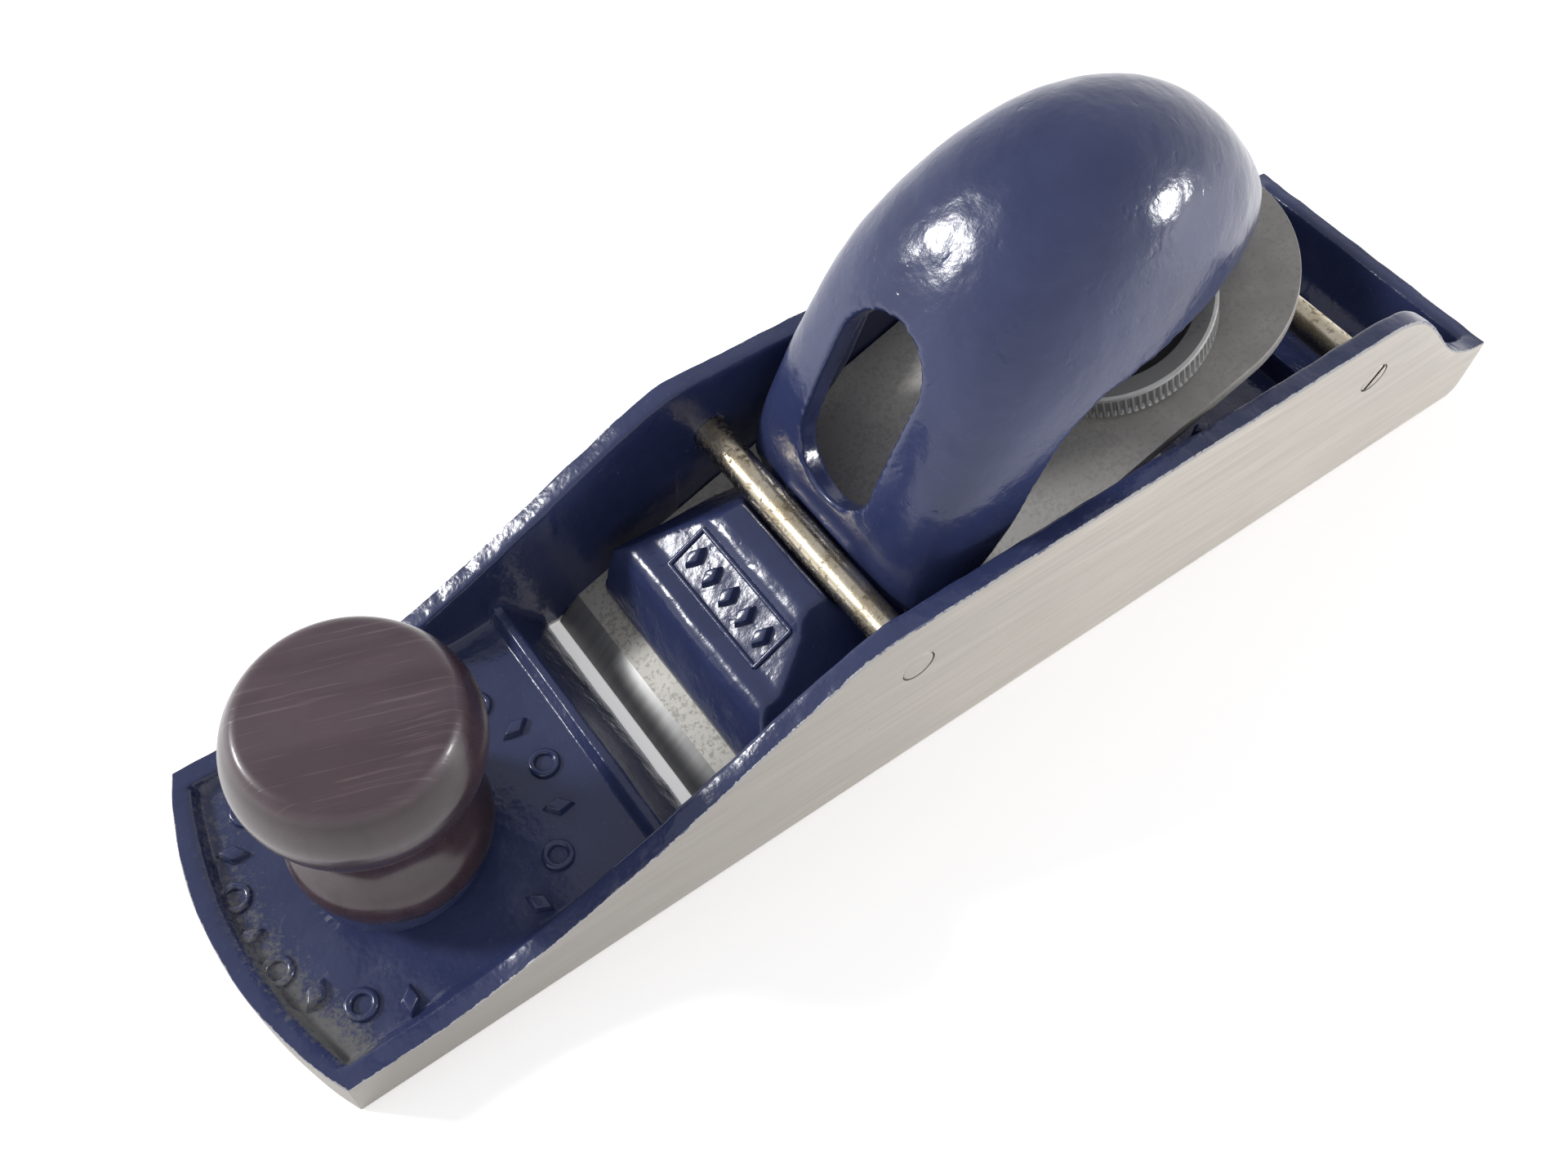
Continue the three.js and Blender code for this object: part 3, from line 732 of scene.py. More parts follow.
def surfaceHeight(x, y, tops, floors):
    # the body's upper surface: along the cheek's top, then down its wall to the floor
    s, p, rows, steps = bodyShape, plane, cheekRows, cheekSteps
    top, floor = curveHeight(tops, x), curveHeight(floors, x)
    rimEnd, wallStart = p["toe"] + s["rimWidth"], p["heel"] - s["heelWall"]
    away = p["halfWidth"] - p["wall"] - abs(y)  # how far inside the cheek
    fromEnd = x - rimEnd if x < 0 else wallStart - x
    if x < rimEnd - 0.1 or x > wallStart + 0.1:
        away = min(away, fromEnd)
    elif away > 0:
        away = min(away, max(fromEnd, 0))
    deep = max(top - floor, 0.1)

    def step(name):
        most, share = steps[name]
        return min(most, deep * share)

    if away < rows["top"]:
        return top
    if away < rows["edge"]:
        return top - steps["edge"]
    if away < rows["side"]:
        return top - step("side")
    if away < rows["foot"]:
        return floor + step("foot")
    if away < rows["fillet"]:
        return floor + step("fillet")
    return floor


def markGroundEdges(body, mouths):
    # keeps the ground edges crisp: the sole's outline, the cheeks' outer top edges and the mouths
    p = plane
    half, inner = p["halfWidth"], p["halfWidth"] - p["wall"]

    def outside(a, b):
        return min(abs(a.y), abs(b.y)) > half - 0.01

    def atEnd(a, b):
        return all(v.x > p["heel"] - 0.01 or abs(v.x - p["toe"] - toeCurve(v.y)) < 0.05 for v in (a, b))

    def groundEdge(a, b):
        onSole = a.z + b.z < 0.01
        alongSide = outside(a, b) and abs(a.x - b.x) > 0.01 and (onSole or min(a.z, b.z) > 3)
        acrossEnd = atEnd(a, b) and (onSole or min(a.z, b.z) > 7)
        return alongSide or acrossEnd or outside(a, b) and atEnd(a, b)

    def mouthEdge(a, b):
        inSpan = any(start - 0.1 < min(a.x, b.x) and max(a.x, b.x) < end + 0.1 for start, end in mouths)
        return inSpan and max(abs(a.y), abs(b.y)) < inner

    for test, crease in ((groundEdge, 0.92), (mouthEdge, 0.8)):
        pick(body, "EDGE", test)
        bpy.ops.transform.edge_crease(value=crease)


def isGroundFace(centre, normal):
    # the cheeks' outsides, the sole, the heel and the lower part of the toe
    s, p = bodyShape, plane
    onCheek = abs(centre.y) > p["halfWidth"] - 0.05 and abs(normal.y) > 0.9
    onSole = normal.z < -0.9 and centre.z < 0.05
    onHeel = centre.x > p["heel"] - s["heelRound"] - 0.05
    onToe = centre.x < p["toe"] + 7 and normal.x < 0 and centre.z < s["rim"] * 0.55
    return onCheek or onSole or abs(normal.x) > 0.35 and centre.z < s["heel"] - 0.1 and (onHeel or onToe)


def makeBody():
    s, p, rows = bodyShape, plane, cheekRows
    tops = cheekLine()
    floors, mouths = floorLine()
    half, inner = p["halfWidth"], p["halfWidth"] - p["wall"]
    body = addCube("castBody", (p["toe"], -half, 0), (p["heel"], half, 10))
    activate(body, edit=True)
    cutAt("X", bodySlices(floors))
    lines = [half - rows["outside"]] + [inner + y for y in rows["inside"]] + list(rows["floor"])
    cutAt("Y", [y * side for y in lines for side in (-1, 1)])

    # lifts the top to the cheeks and sinks it to the floor, then sweeps the toe back
    mesh = bmesh.from_edit_mesh(body.data)
    for vert in mesh.verts:
        x, y, z = vert.co / mm
        if z > 5:
            vert.co.z = surfaceHeight(x, y, tops, floors) * mm
    for vert in mesh.verts:
        x, y, z = vert.co / mm
        vert.co.x += toeCurve(y) * max(0.0, 1 - (x - p["toe"]) / s["toeFade"]) * mm
    bmesh.update_edit_mesh(body.data)

    # opens both mouths
    for start, end in mouths:
        pick(body, "FACE", lambda centre, normal: start - 0.1 < centre.x < end + 0.1
             and abs(centre.y) < inner - 0.3 and abs(normal.z) > 0.3)
        bpy.ops.mesh.bridge_edge_loops()

    # rounds the heel's lower edge
    pick(body, "EDGE", lambda a, b: min(a.x, b.x) > p["heel"] - 0.01 and max(a.z, b.z) < 0.01)
    bpy.ops.mesh.bevel(offset=s["heelRound"] * mm, segments=3, affect="EDGES")

    markGroundEdges(body, mouths)
    faceOutwards()
    bpy.ops.object.mode_set(mode="OBJECT")
    body.data.materials.append(looks["bodyEnamel"])
    body.data.materials.append(looks["iron"])
    activate(body, edit=True)
    pick(body, "FACE", isGroundFace)
    body.active_material_index = 1
    bpy.ops.object.material_slot_assign()
    bpy.ops.object.mode_set(mode="OBJECT")
    finishWith(body, "SUBSURF", levels=2, render_levels=2)

    # bores for the cross rods
    reach = half + 1
    for x in (p["frontRodX"], p["rearRodX"]):
        ends = (x, -reach, p["rodZ"]), (x, reach, p["rodZ"])
        cutWith(body, addCylinder("bore", p["rodRadius"] + p["rodPlay"], *ends, 96))
    return body


# raised ornaments cast into the toe and heel floors: lozenges and rings by turns
ornaments = dict(
    arcs=[dict(radius=20.0, start=116, end=246, count=9), dict(radius=20.0, start=-60, end=50, count=7)],
    rows=[dict(x=46.5, reach=18.0, count=8), dict(x=57.0, reach=18.0, count=8)],
    lozenge=(2.9, 1.6), height=0.95, ring=(1.6, 0.48), ringRise=0.15,
)


def addLozenge(name, size, height):
    # a pointed raised bead on Z = 0
    deselectAll()
    bpy.ops.mesh.primitive_cylinder_add(vertices=4, radius=1.0, depth=2.0)
    piece = newest(name)
    activate(piece, edit=True)
    bpy.ops.mesh.select_all(action="SELECT")
    bpy.ops.transform.resize(value=(size[0] * mm, size[1] * mm, height * mm))
    pick(piece, "FACE", lambda centre, normal: normal.z > 0.9)
    bpy.ops.transform.resize(value=(0.55, 0.55, 1))
    bpy.ops.mesh.select_all(action="SELECT")
    bpy.ops.mesh.bevel(offset=0.22 * mm, segments=3, affect="EDGES")
    bpy.ops.object.mode_set(mode="OBJECT")
    return piece


def addRing(name, size):
    deselectAll()
    bpy.ops.mesh.primitive_torus_add(major_radius=size[0] * mm, minor_radius=size[1] * mm,
                                     major_segments=28, minor_segments=12)
    return newest(name)


def placedCopy(piece, x, y, z, turn=0.0):
    copied = copyOf(piece)
    copied.matrix_world = Matrix.Translation((x * mm, y * mm, z * mm)) @ Matrix.Rotation(turn, 4, "Z")
    applyPlace(copied)
    return copied


def makeFloorOrnaments():
    s = ornaments
    floors = floorLine()[0]
    spots = []
    for arc in s["arcs"]:
        for number in range(arc["count"]):
            turn = math.radians(arc["start"] + (arc["end"] - arc["start"]) * number / (arc["count"] - 1))
            x = plane["knobX"] + arc["radius"] * math.cos(turn)
            spots.append((x, arc["radius"] * math.sin(turn), turn, number))
    for row in s["rows"]:
        for number in range(row["count"]):
            spots.append((row["x"], row["reach"] * (2 * number / (row["count"] - 1) - 1), 0.0, number))
    lozenge = addLozenge("castLozenge", s["lozenge"], s["height"])
    ring = addRing("castRing", s["ring"])
    made = []
    for x, y, turn, number in spots:
        z = curveHeight(floors, x)
        if number % 2:
            made.append(placedCopy(ring, x, y, z + s["ringRise"], turn))
        else:
            made.append(placedCopy(lozenge, x, y, z, turn))
        made[-1].data.materials.append(looks["bodyEnamel"])
    for pattern in (lozenge, ring):
        bpy.data.objects.remove(pattern)
    return made


def addKnobBoss():
    outer, top = bodyShape["boss"]
    stud, foot, low = bodyShape["stud"], outer + 1.6, 3
    profile = [(stud, low), (stud, top), (outer - 0.9, top), (outer - 0.3, top - 0.25), (outer, top - 0.9),
               (outer + 0.4, 6.0), (foot, 5.2), (foot, low), (stud, low)]
    boss = spunPiece("knobBoss", profile, 96, centre=(plane["knobX"], 0))
    boss.data.materials.append(looks["bodyEnamel"])
    return boss


def lumpSurface(piece, name, size, strength, middle=0.5, keep=None):
    # gives a casting its uneven skin; the faces that keep is true for stay as they are
    texture = bpy.data.textures.new(name, "CLOUDS")
    texture.noise_scale = size * mm
    texture.noise_depth = 1
    settings = dict(texture=texture, texture_coords="LOCAL", strength=strength * mm, mid_level=middle)
    if keep is not None:
        still = {index for face in piece.data.polygons if keep(face) for index in face.vertices}
        cast = piece.vertex_groups.new(name="cast")
        cast.add([vert.index for vert in piece.data.vertices if vert.index not in still], 1.0, "REPLACE")
        settings["vertex_group"] = "cast"
    finishWith(piece, "DISPLACE", **settings)


def markWear(piece, rings=(1.0, 0.62, 0.34)):
    # an attribute that is highest where enamel meets ground iron, and falls over the next rings of vertices
    enamel, iron = set(), set()
    for face in piece.data.polygons:
        (iron if face.material_index == 1 else enamel).update(face.vertices)
    wear = [0.0] * len(piece.data.vertices)
    front = enamel & iron
    seen = set(front)
    for amount in rings:
        for index in front:
            wear[index] = amount
        following = set()
        for a, b in (edge.vertices for edge in piece.data.edges):
            if a in front and b not in seen:
                following.add(b)
            elif b in front and a not in seen:
                following.add(a)
        seen |= following
        front = following
    attribute = piece.data.attributes.new("wear", "FLOAT", "POINT")
    attribute.data.foreach_set("value", wear)


body = makeBody()
print("body casting shaped")
lumpSurface(body, "bodyLumps", 4.0, 0.30, keep=lambda face: face.material_index == 1 or face.center.z < mm)
markWear(body)
body = joinAll([body, addKnobBoss()] + makeFloorOrnaments(), "castBody")
smooth(body, 32)
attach(body, "body")
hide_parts("body_casting")
print("body casting has", len(body.data.polygons), "faces")


# lever cap
capShape = dict(
    stations=[  # crown, skirt, half width and squareness, from the front rod's axis
        ((2.85, -1.7), (11.8, -3.9), 18.5, 5.0), ((2.85, 4.8), (13.8, 0.8), 18.4, 4.6),
        ((4.2, 13.8), (18.3, 7.8), 18.3, 4.0), ((7.2, 22.8), (21.3, 15.8), 18.2, 3.4),
        ((11.6, 32.6), (24.3, 21.8), 18.2, 2.9), ((17.8, 41.0), (28.3, 24.6), 18.1, 2.5),
        ((25.8, 47.6), (34.8, 25.4), 17.6, 2.35), ((34.4, 50.6), (42.4, 25.9), 16.4, 2.3),
        ((44.6, 49.6), (49.8, 26.2), 14.6, 2.25), ((54.2, 44.9), (56.8, 26.4), 12.2, 2.2),
        ((62.6, 37.2), (63.6, 26.3), 8.8, 2.1), ((69.0, 29.8), (68.8, 25.9), 4.8, 2.0),
        ((71.6, 26.2), (71.3, 25.5), 1.0, 2.0),
    ],
    rows=150, sides=72, wall=3.4, inset=0.12, voxel=0.5,
    foot=8.0, under=2.55, noseHigh=12.3, noseHalf=17.7, noseRound=0.9, shoulder=(17.7, 14.8, 10.6, 22.2),
    boss=(6.5, 19.2, 41.3), screwHole=(3.5, 18.0, 36.7), axis=83.6,
)
fingerHole = dict(width=13.8, length=27.0, out=3.4, up=20.4, lean=20, near=-12, far=16, steps=40)


def throughPoints(points, share):
    # a point on the smooth curve through the given points
    last = len(points) - 1
    at = min(share * last, last - 1e-9)
    i = int(at)
    u = at - i
    p1, p2 = Vector(points[i]), Vector(points[i + 1])
    p0 = Vector(points[i - 1]) if i > 0 else 2 * p1 - p2
    p3 = Vector(points[i + 2]) if i + 2 <= last else 2 * p2 - p1
    d0, d1, d2 = (max((b - a).length, 1e-4) ** 0.5 for a, b in ((p0, p1), (p1, p2), (p2, p3)))
    leave = ((p1 - p0) / d0 - (p2 - p0) / (d0 + d1) + (p2 - p1) / d1) * d1
    arrive = ((p2 - p1) / d1 - (p3 - p1) / (d1 + d2) + (p3 - p2) / d2) * d1
    bend = 3 * (p2 - p1) - 2 * leave - arrive
    return p1 + leave * u + bend * u ** 2 + (2 * (p1 - p2) + leave + arrive) * u ** 3


def capSkinPoint(share, turn):
    s = capShape["stations"]
    crown = throughPoints([a[0] for a in s], share)
    skirt = throughPoints([a[1] for a in s], share)
    half, square = throughPoints([(a[2], a[3]) for a in s], share)
    across = math.copysign(abs(math.cos(turn)) ** (2 / square), math.cos(turn))
    point = skirt.lerp(crown, max(math.sin(turn), 0) ** (2 / square))
    side = (half - capShape["inset"]) * across
    return Vector((point.x + plane["frontRodX"], side, point.y + plane["rodZ"]))


def makeFingerHole():
    # a slot with round ends, leaning with the palm rest's neck
    s = fingerHole
    radius, straight = s["width"] / 2, (s["length"] - s["width"]) / 2
    outline = []
    for step in range(s["steps"]):
        turn = math.tau * step / s["steps"]
        shift = straight if math.sin(turn) >= 0 else -straight
        outline.append((radius * math.cos(turn), radius * math.sin(turn) + shift))
    hole = outlinePrism("fingerHole", outline, s["near"], s["far"])
    place = Matrix.Translation(Vector((plane["frontRodX"] + s["out"], 0, plane["rodZ"] + s["up"])) * mm)
    lean = Matrix.Rotation(math.radians(s["lean"]), 4, "Y")
    hole.matrix_world = place @ lean @ Matrix.Rotation(-math.pi / 2, 4, "Z")
    applyPlace(hole)
    return hole


def makePalmShell():
    s = capShape
    deselectAll()
    bpy.ops.mesh.primitive_grid_add(x_subdivisions=s["rows"], y_subdivisions=s["sides"], size=1)
    shell = newest("palmShell")
    for vert in shell.data.vertices:
        vert.co = capSkinPoint(vert.co.x + 0.5, math.pi * (vert.co.y + 0.5)) * mm
    mergeNear(shell, 0.02)
    # the open skin has no inside yet, so its crown says which way is out
    if max(shell.data.polygons, key=lambda face: face.center.z).normal.z < 0:
        activate(shell, edit=True)
        bpy.ops.mesh.select_all(action="SELECT")
        bpy.ops.mesh.flip_normals()
        bpy.ops.object.mode_set(mode="OBJECT")
    finishWith(shell, "SOLIDIFY", thickness=s["wall"] * mm, offset=-1, use_rim=True)
    cutWith(shell, makeFingerHole())
    return shell


def makeNose():
    s, p = capShape, plane
    rodX, rodZ, high, under = p["frontRodX"], p["rodZ"], s["noseHigh"], s["under"]

    def nose(along, above):
        return onBed(s["foot"] + along, above)

    below = [nose(0, under), nose(5, under), nose(6.5, under + 1.2), nose(33, under + 1.2)]
    saddle = [(rodX + 10.5, rodZ - 3.4), (rodX + 4, rodZ + 4), (rodX, rodZ)]
    panel = [nose(21.2, high + 1.0), nose(19.4, high + 1.6), nose(17.4, high + 1.3), nose(16.4, high + 0.5)]
    roll = [nose(9.6, high - 0.8), nose(8.9, high - 0.4), nose(7.5, high), nose(6.2, high - 0.4),
            nose(4.9, high - 1.6), nose(0.4, under + 2)]
    block = outlinePrism("capNose", below + saddle + panel + roll, -s["noseHalf"], s["noseHalf"])
    wide, low, narrow, top = s["shoulder"]
    activate(block, edit=True)
    for side in (-1, 1):
        slope = Vector((0, side * (top - low), wide - narrow)).normalized()
        trimPast(Vector((0, side * wide, low)) * mm, slope)
    bpy.ops.object.mode_set(mode="OBJECT")
    bevelCorners(block, s["noseRound"], 3, 28)
    pocket = [nose(5.5, under - 1), nose(9, under + 6.2), nose(18.5, under + 6.4), nose(22, under + 3.6),
              nose(40, under + 3.6), nose(40, under - 1)]
    cutWith(block, outlinePrism("pocket", pocket, -narrow, narrow))
    cutWith(block, addCylinder("saddle", p["rodRadius"] + p["seat"], (rodX, -30, rodZ), (rodX, 30, rodZ)))
    return block


noseOrnament = dict(
    count=5, reach=7.4, lozenge=(2.7, 1.55), height=1.1, sink=-0.12,
    along=(17.6, 24.4), above=(11.5, 12.8), frame=(3.3, 9.6), frameRadius=0.36,
)


def makeNoseOrnament():
    # a thin raised frame with upright lozenges on the sloping panel
    s = noseOrnament
    tilt = math.atan2(s["above"][1] - s["above"][0], s["along"][1] - s["along"][0])
    place = bedPlace(tilt, sum(s["along"]) / 2, sum(s["above"]) / 2)
    lozenge = addLozenge("noseLozenge", s["lozenge"], s["height"])
    parts = []
    for number in range(s["count"]):
        y = s["reach"] * (2 * number / (s["count"] - 1) - 1)
        parts.append(placedCopy(lozenge, 0, y, s["sink"]))
    bpy.data.objects.remove(lozenge)
    wide, long = s["frame"]
    corners = [(-wide, -long, 0), (wide, -long, 0), (wide, long, 0), (-wide, long, 0)]
    for start, end in zip(corners, corners[1:] + corners[:1]):
        parts.append(addCylinder("noseFrame", s["frameRadius"], start, end, 16))
    for part in parts:
        part.data.materials.append(looks["capEnamel"])
        part.matrix_world = place
        applyPlace(part)
    return parts


def alongScrew(name, sizes):
    # a cylinder on the clamp screw's axis, from sizes of (radius, low, high) above the blade
    axis = bedPlace() @ Matrix.Translation((capShape["axis"] * mm, 0, 0))
    radius, low, high = sizes
    ends = (axis @ Vector((0, 0, low * mm)) / mm, axis @ Vector((0, 0, high * mm)) / mm)
    return addCylinder(name, radius, *ends, 48)


def makeCap():
    s = capShape
    cap = joinAll([makePalmShell(), makeNose(), alongScrew("capBoss", s["boss"])], "leverCap")
    print("lever cap parts joined")
    finishWith(cap, "REMESH", mode="VOXEL", voxel_size=s["voxel"] * mm)
    finishWith(cap, "SMOOTH", factor=0.5, iterations=3)
    lumpSurface(cap, "capLumps", 3.2, 0.12, middle=1.6)
    cutWith(cap, alongScrew("screwHole", s["screwHole"]))
    cap.data.materials.clear()
    cap.data.materials.append(looks["capEnamel"])
    cap = joinAll([cap] + makeNoseOrnament(), "leverCap")
    smooth(cap, 60)
    return cap


cap = makeCap()
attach(cap, "cap")
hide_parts("lever_cap")
print("lever cap has", len(cap.data.polygons), "faces")


# cross rods
rodShape = dict(ends=0.35, inset=0.01, slot=(0.9, 1.2), slotTurn=-60, segments=96, ring=0.8, rings=29)


def makeRod(name, x, slotted):
    s, half, z = rodShape, plane["halfWidth"], plane["rodZ"]
    reach = half - s["inset"]
    rod = addCylinder(name, plane["rodRadius"], (x, -reach, z), (x, reach, z), s["segments"])
    activate(rod, edit=True)
    cutAt("Y", [y * s["ring"] for y in range(-s["rings"], s["rings"] + 1)])
    pick(rod, "EDGE", lambda a, b: abs(a.y - b.y) < 0.001 and min(abs(a.y), abs(b.y)) > reach - 0.01)
    bpy.ops.mesh.bevel(offset=s["ends"] * mm, segments=3, affect="EDGES")
    bpy.ops.object.mode_set(mode="OBJECT")
    if slotted:
        width, depth = s["slot"]
        cutter = addCube("slotCutter", (-4, -half - 1, -width / 2), (4, -half + depth, width / 2))
        turn = Matrix.Rotation(math.radians(s["slotTurn"]), 4, "Y")
        cutter.matrix_world = Matrix.Translation((x * mm, 0, z * mm)) @ turn
        cutWith(rod, cutter)
    rod.data.materials.clear()
    rod.data.materials.append(looks["rod"])
    rod.data.materials.append(looks["iron"])
    for face in rod.data.polygons:
        face.material_index = int(abs(face.normal.y) > 0.5)
    smooth(rod, 30)
    return rod


frontRod = makeRod("frontRod", plane["frontRodX"], slotted=False)
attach(frontRod, "body")
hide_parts("front_cross_rod")
rearRod = makeRod("rearRod", plane["rearRodX"], slotted=True)
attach(rearRod, "rear_rod")
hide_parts("rear_cross_rod")
print("rods made")


# blade
bladeShape = dict(half=19.8, length=111.8, thick=2.2, bevel=25, bevelEnd=6.0, shift=0.8, soft=0.18,
                  shoulder=20, steps=64)


def makeBlade():
    s = bladeShape
    half, centre = s["half"], s["length"] - s["half"]
    outline = [(0, -half), (s["shoulder"], -half), (centre, -half)]
    for step in range(1, s["steps"]):
        turn = -math.pi / 2 + math.pi * step / s["steps"]
        outline.append((centre + half * math.cos(turn), half * math.sin(turn)))
    outline += [(centre, half), (s["shoulder"], half), (0, half)]
    blade = outlinePrism("cutterBlade", outline, 0, s["thick"])
    lean = math.radians(s["bevel"])
    activate(blade, edit=True)
    trimPast((0, 0, 0), (-math.sin(lean), math.cos(lean), 0))
    bpy.ops.object.mode_set(mode="OBJECT")
    blade.matrix_world = Matrix.Translation((0, s["shift"] * mm, 0)) @ Matrix.Rotation(math.pi / 2, 4, "X")
    applyPlace(blade)
    mergeNear(blade)
    bevelCorners(blade, s["soft"], 2, 40)
    blade.data.materials.append(looks["blade"])
    blade.data.materials.append(looks["bevel"])
    for face in blade.data.polygons:
        sloping = face.normal.x < -0.3 and face.normal.z > 0.8
        face.material_index = int(sloping and face.center.x < s["bevelEnd"] * mm)
    blade.matrix_world = bedPlace()
    applyPlace(blade)
    smooth(blade, 25)
    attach(blade, "blade")
    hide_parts("blade")
    return blade


blade = makeBlade()
print("blade made")


# clamp wheel and its screw
wheelShape = dict(
    profile=[(3.5, 0), (14.2, 0), (14.7, 0.2), (15.0, 0.5), (15.0, 0.9), (15.0, 2.5), (15.0, 4.2),
             (15.0, 4.6), (14.85, 4.95), (14.5, 5.2), (12.7, 5.2), (12.3, 5.1), (12.0, 4.7), (11.6, 3.6),
             (10.4, 3.4), (7.0, 3.4), (6.4, 3.7), (6.2, 5.6), (5.9, 6.0), (3.8, 6.0), (3.5, 5.7), (3.5, 0)],
    grooves=100, perGroove=4, depth=0.6, milledFrom=14.5, band=(0.6, 4.4), shadedRecess=12.2,
)
screwShape = dict(radius=3.2, root=2.78, low=1.2, high=26.0, pitch=1.25, lead=0.3, runOut=1.3, steps=64,
                  thread=(0.45, 0.62, 1.07), point=(0.5, 0.4))


def makeWheel():
    s = wheelShape
    steps = s["grooves"] * s["perGroove"]
    wheel = spunPiece("clampWheel", s["profile"], steps)
    # mills the grooves round the lower part of the rim
    for vert in wheel.data.vertices:
        x, y, z = vert.co / mm
        radius = math.hypot(x, y)
        number = round((math.atan2(y, x) % math.tau) / math.tau * steps)
        if radius > s["milledFrom"] and s["band"][0] < z < s["band"][1] and number % s["perGroove"] < 2:
            vert.co.x *= 1 - s["depth"] / radius
            vert.co.y *= 1 - s["depth"] / radius
    wheel.data.materials.append(looks["wheel"])
    # the second material is painted shade for the recess, which the palm rest shades
    wheel.data.materials.append(looks["shadedRecess"])
    for face in wheel.data.polygons:
        middle = face.center / mm
        face.material_index = int(math.hypot(middle.x, middle.y) < s["shadedRecess"] and middle.z > 0.1)
    smooth(wheel, 24)
    return wheel


def makeScrew():
    # rings of a thread's section stand for the thread
    s = screwShape
    root, crest, high = s["root"], s["radius"], s["high"]
    rise, land, fall = s["thread"]
    narrow, back = s["point"]
    profile = [(0, s["low"]), (root, s["low"])]
    z = s["low"] + s["lead"]
    while z < high - s["runOut"]:
        profile += [(root, z), (crest, z + rise), (crest, z + land), (root, z + fall)]
        z += s["pitch"]
    profile += [(root, high - back), (root - narrow, high), (0, high)]
    screw = spunPiece("clampScrew", profile, s["steps"])
    screw.data.materials.append(looks["screw"])
    smooth(screw, 30)
    return screw


for piece, bodyName, node, slotName in ((makeWheel(), "wheel", "clamp_wheel", "wheel_steel"),
                                        (makeScrew(), "screw", "clamp_screw", "screw_steel")):
    piece.matrix_world = bedPlace() @ Matrix.Translation((capShape["axis"] * mm, 0, capShape["under"] * mm))
    applyPlace(piece)
    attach(piece, bodyName)
    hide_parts(node)
print("wheel and screw made")


# turned wooden knob
knobShape = dict(
    profile=[(10.4, 0), (11.0, 0.35), (11.6, 1.6), (12.3, 3.4), (12.5, 5.2), (12.1, 7.0), (11.0, 9.0),
             (10.0, 11.5), (9.8, 13.5), (10.4, 16.0), (11.9, 18.6), (13.5, 21.3), (14.2, 24.4), (14.1, 26.6),
             (13.3, 29.2), (12.55, 30.6), (12.1, 31.25), (11.6, 31.7), (11.0, 31.93), (10.2, 32.0)],
    widest=14.2, height=32, inset=0.01, middle=4.5, pocket=(5.3, 18.3), steps=160, finer=5,
)


def makeKnob():
    s = knobShape
    inset, crown = s["inset"], s["height"] - s["inset"]
    turned = []
    runs = (len(s["profile"]) - 1) * s["finer"]
    for step in range(runs + 1):
        point = throughPoints(s["profile"], step / runs)
        height = min(max(point.y, 0), s["height"]) - inset * (point.y > 1)
        turned.append((min(point.x, s["widest"]) - inset, height))
    deep, high = s["pocket"]
    profile = [(0, high), (deep, high), (deep, 0.0)] + turned + [(s["middle"], crown), (0, crown)]
    knob = spunPiece("frontKnob", profile, s["steps"], bottom=plane["knobZ"], centre=(plane["knobX"], 0))
    knob.data.materials.append(looks["knob"])
    smooth(knob, 40)
    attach(knob, "knob")
    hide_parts("front_knob")
    return knob


knob = makeKnob()
print("knob made")

# the stud and its threaded insert stay as they are, in better finishes
for node, look, slotName in (("knob_stud", "screw", "screw_steel"), ("knob_insert", "brass", "insert_brass")):
    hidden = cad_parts[node]
    hidden.data.materials.clear()
    hidden.data.materials.append(looks[look])
print("hidden fittings finished")


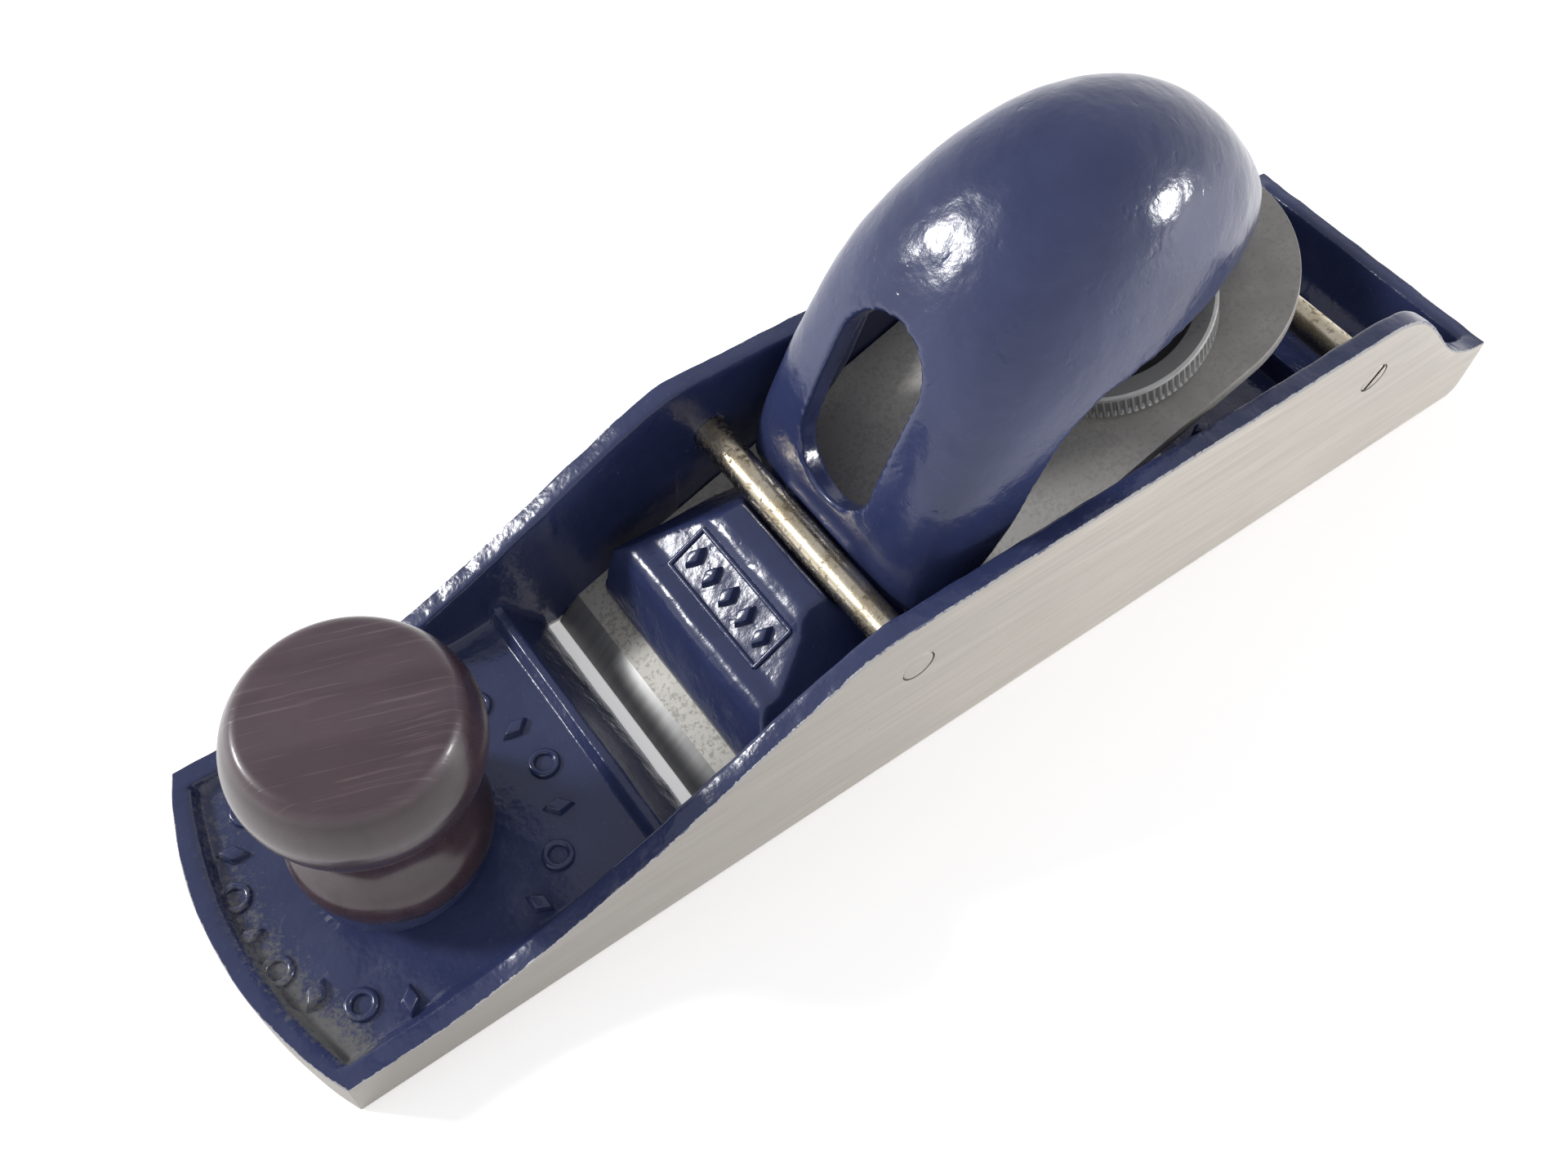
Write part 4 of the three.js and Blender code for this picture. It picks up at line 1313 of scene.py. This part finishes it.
# camera, light and floor
view = dict(eye=(-89.147, -82.398, 173.973), aim=(-17.341, 1.952, 10.0), roll=0.087, lens=33.12)
lights = [  # name, direction, size, power
    ("windowLight", (-0.66, 0.54, 0.52), 0.13, 5.0),
    ("sideLight", (0.79, -0.58, 0.24), 0.11, 3.0),
]
room = dict(low=(1.0, 1.0, 1.0, 1), high=(0.50, 0.50, 0.52, 1), fade=(0.1, 0.8), strength=1.1,
            lightDistance=0.9)
floorLook = dict(dark=(0.93, 0.925, 0.92, 1), light=(0.95, 0.945, 0.94, 1), glow=(1, 0.995, 0.985, 1),
                 strength=0.32, size=3, drop=0.0002)


def linkNew(name, data):
    thing = bpy.data.objects.new(name, data)
    bpy.context.scene.collection.objects.link(thing)
    thing.rotation_mode = "QUATERNION"
    return thing


def makeCamera():
    eye, aim = Vector(view["eye"]) * mm, Vector(view["aim"]) * mm
    camera = linkNew("camera", bpy.data.cameras.new("camera"))
    camera.location = eye
    camera.rotation_quaternion = (aim - eye).to_track_quat("-Z", "Y") @ Quaternion((0, 0, 1), view["roll"])
    camera.data.lens = view["lens"]
    camera.data.sensor_width = 36
    camera.data.clip_start = 0.005
    bpy.context.scene.camera = camera


def makeRoom():
    # two soft lights in a pale room, which is brighter towards the horizon than overhead
    for name, direction, size, power in lights:
        light = bpy.data.lights.new(name, "AREA")
        light.shape, light.size, light.energy = "SQUARE", size, power
        lamp = linkNew(name, light)
        lamp.location = Vector(direction).normalized() * room["lightDistance"]
        lamp.rotation_quaternion = (-lamp.location).to_track_quat("-Z", "Y")
    world = bpy.data.worlds.new("paleRoom")
    bpy.context.scene.world = world
    world.use_nodes = True
    tree = world.node_tree
    up = axesOf(tree, tree.nodes.new("ShaderNodeTexCoord").outputs["Generated"])["Z"]
    background = tree.nodes["Background"].inputs
    feed(tree, background["Color"], mixColour(tree, ramp(tree, up, *room["fade"]), room["low"], room["high"]))
    feed(tree, background["Strength"], room["strength"])


def makeFloor():
    s = floorLook
    deselectAll()
    bpy.ops.mesh.primitive_plane_add(size=s["size"])
    floor = newest("floor")
    floor.location.z = cadBounds[0][2] - s["drop"]
    material, tree, shader, place = newMaterial("paleFloor")
    tone = ramp(tree, noiseAt(tree, place, 3.0, 2.0), 0.3, 0.7)
    setShader(tree, shader, colour=mixColour(tree, tone, s["dark"], s["light"]), rough=0.6)
    shader.inputs["Emission Color"].default_value = s["glow"]
    shader.inputs["Emission Strength"].default_value = s["strength"]
    floor.data.materials.append(material)


makeCamera()
makeRoom()
makeFloor()
bpy.context.scene.view_settings.view_transform = "Standard"
print("camera, light and floor placed")
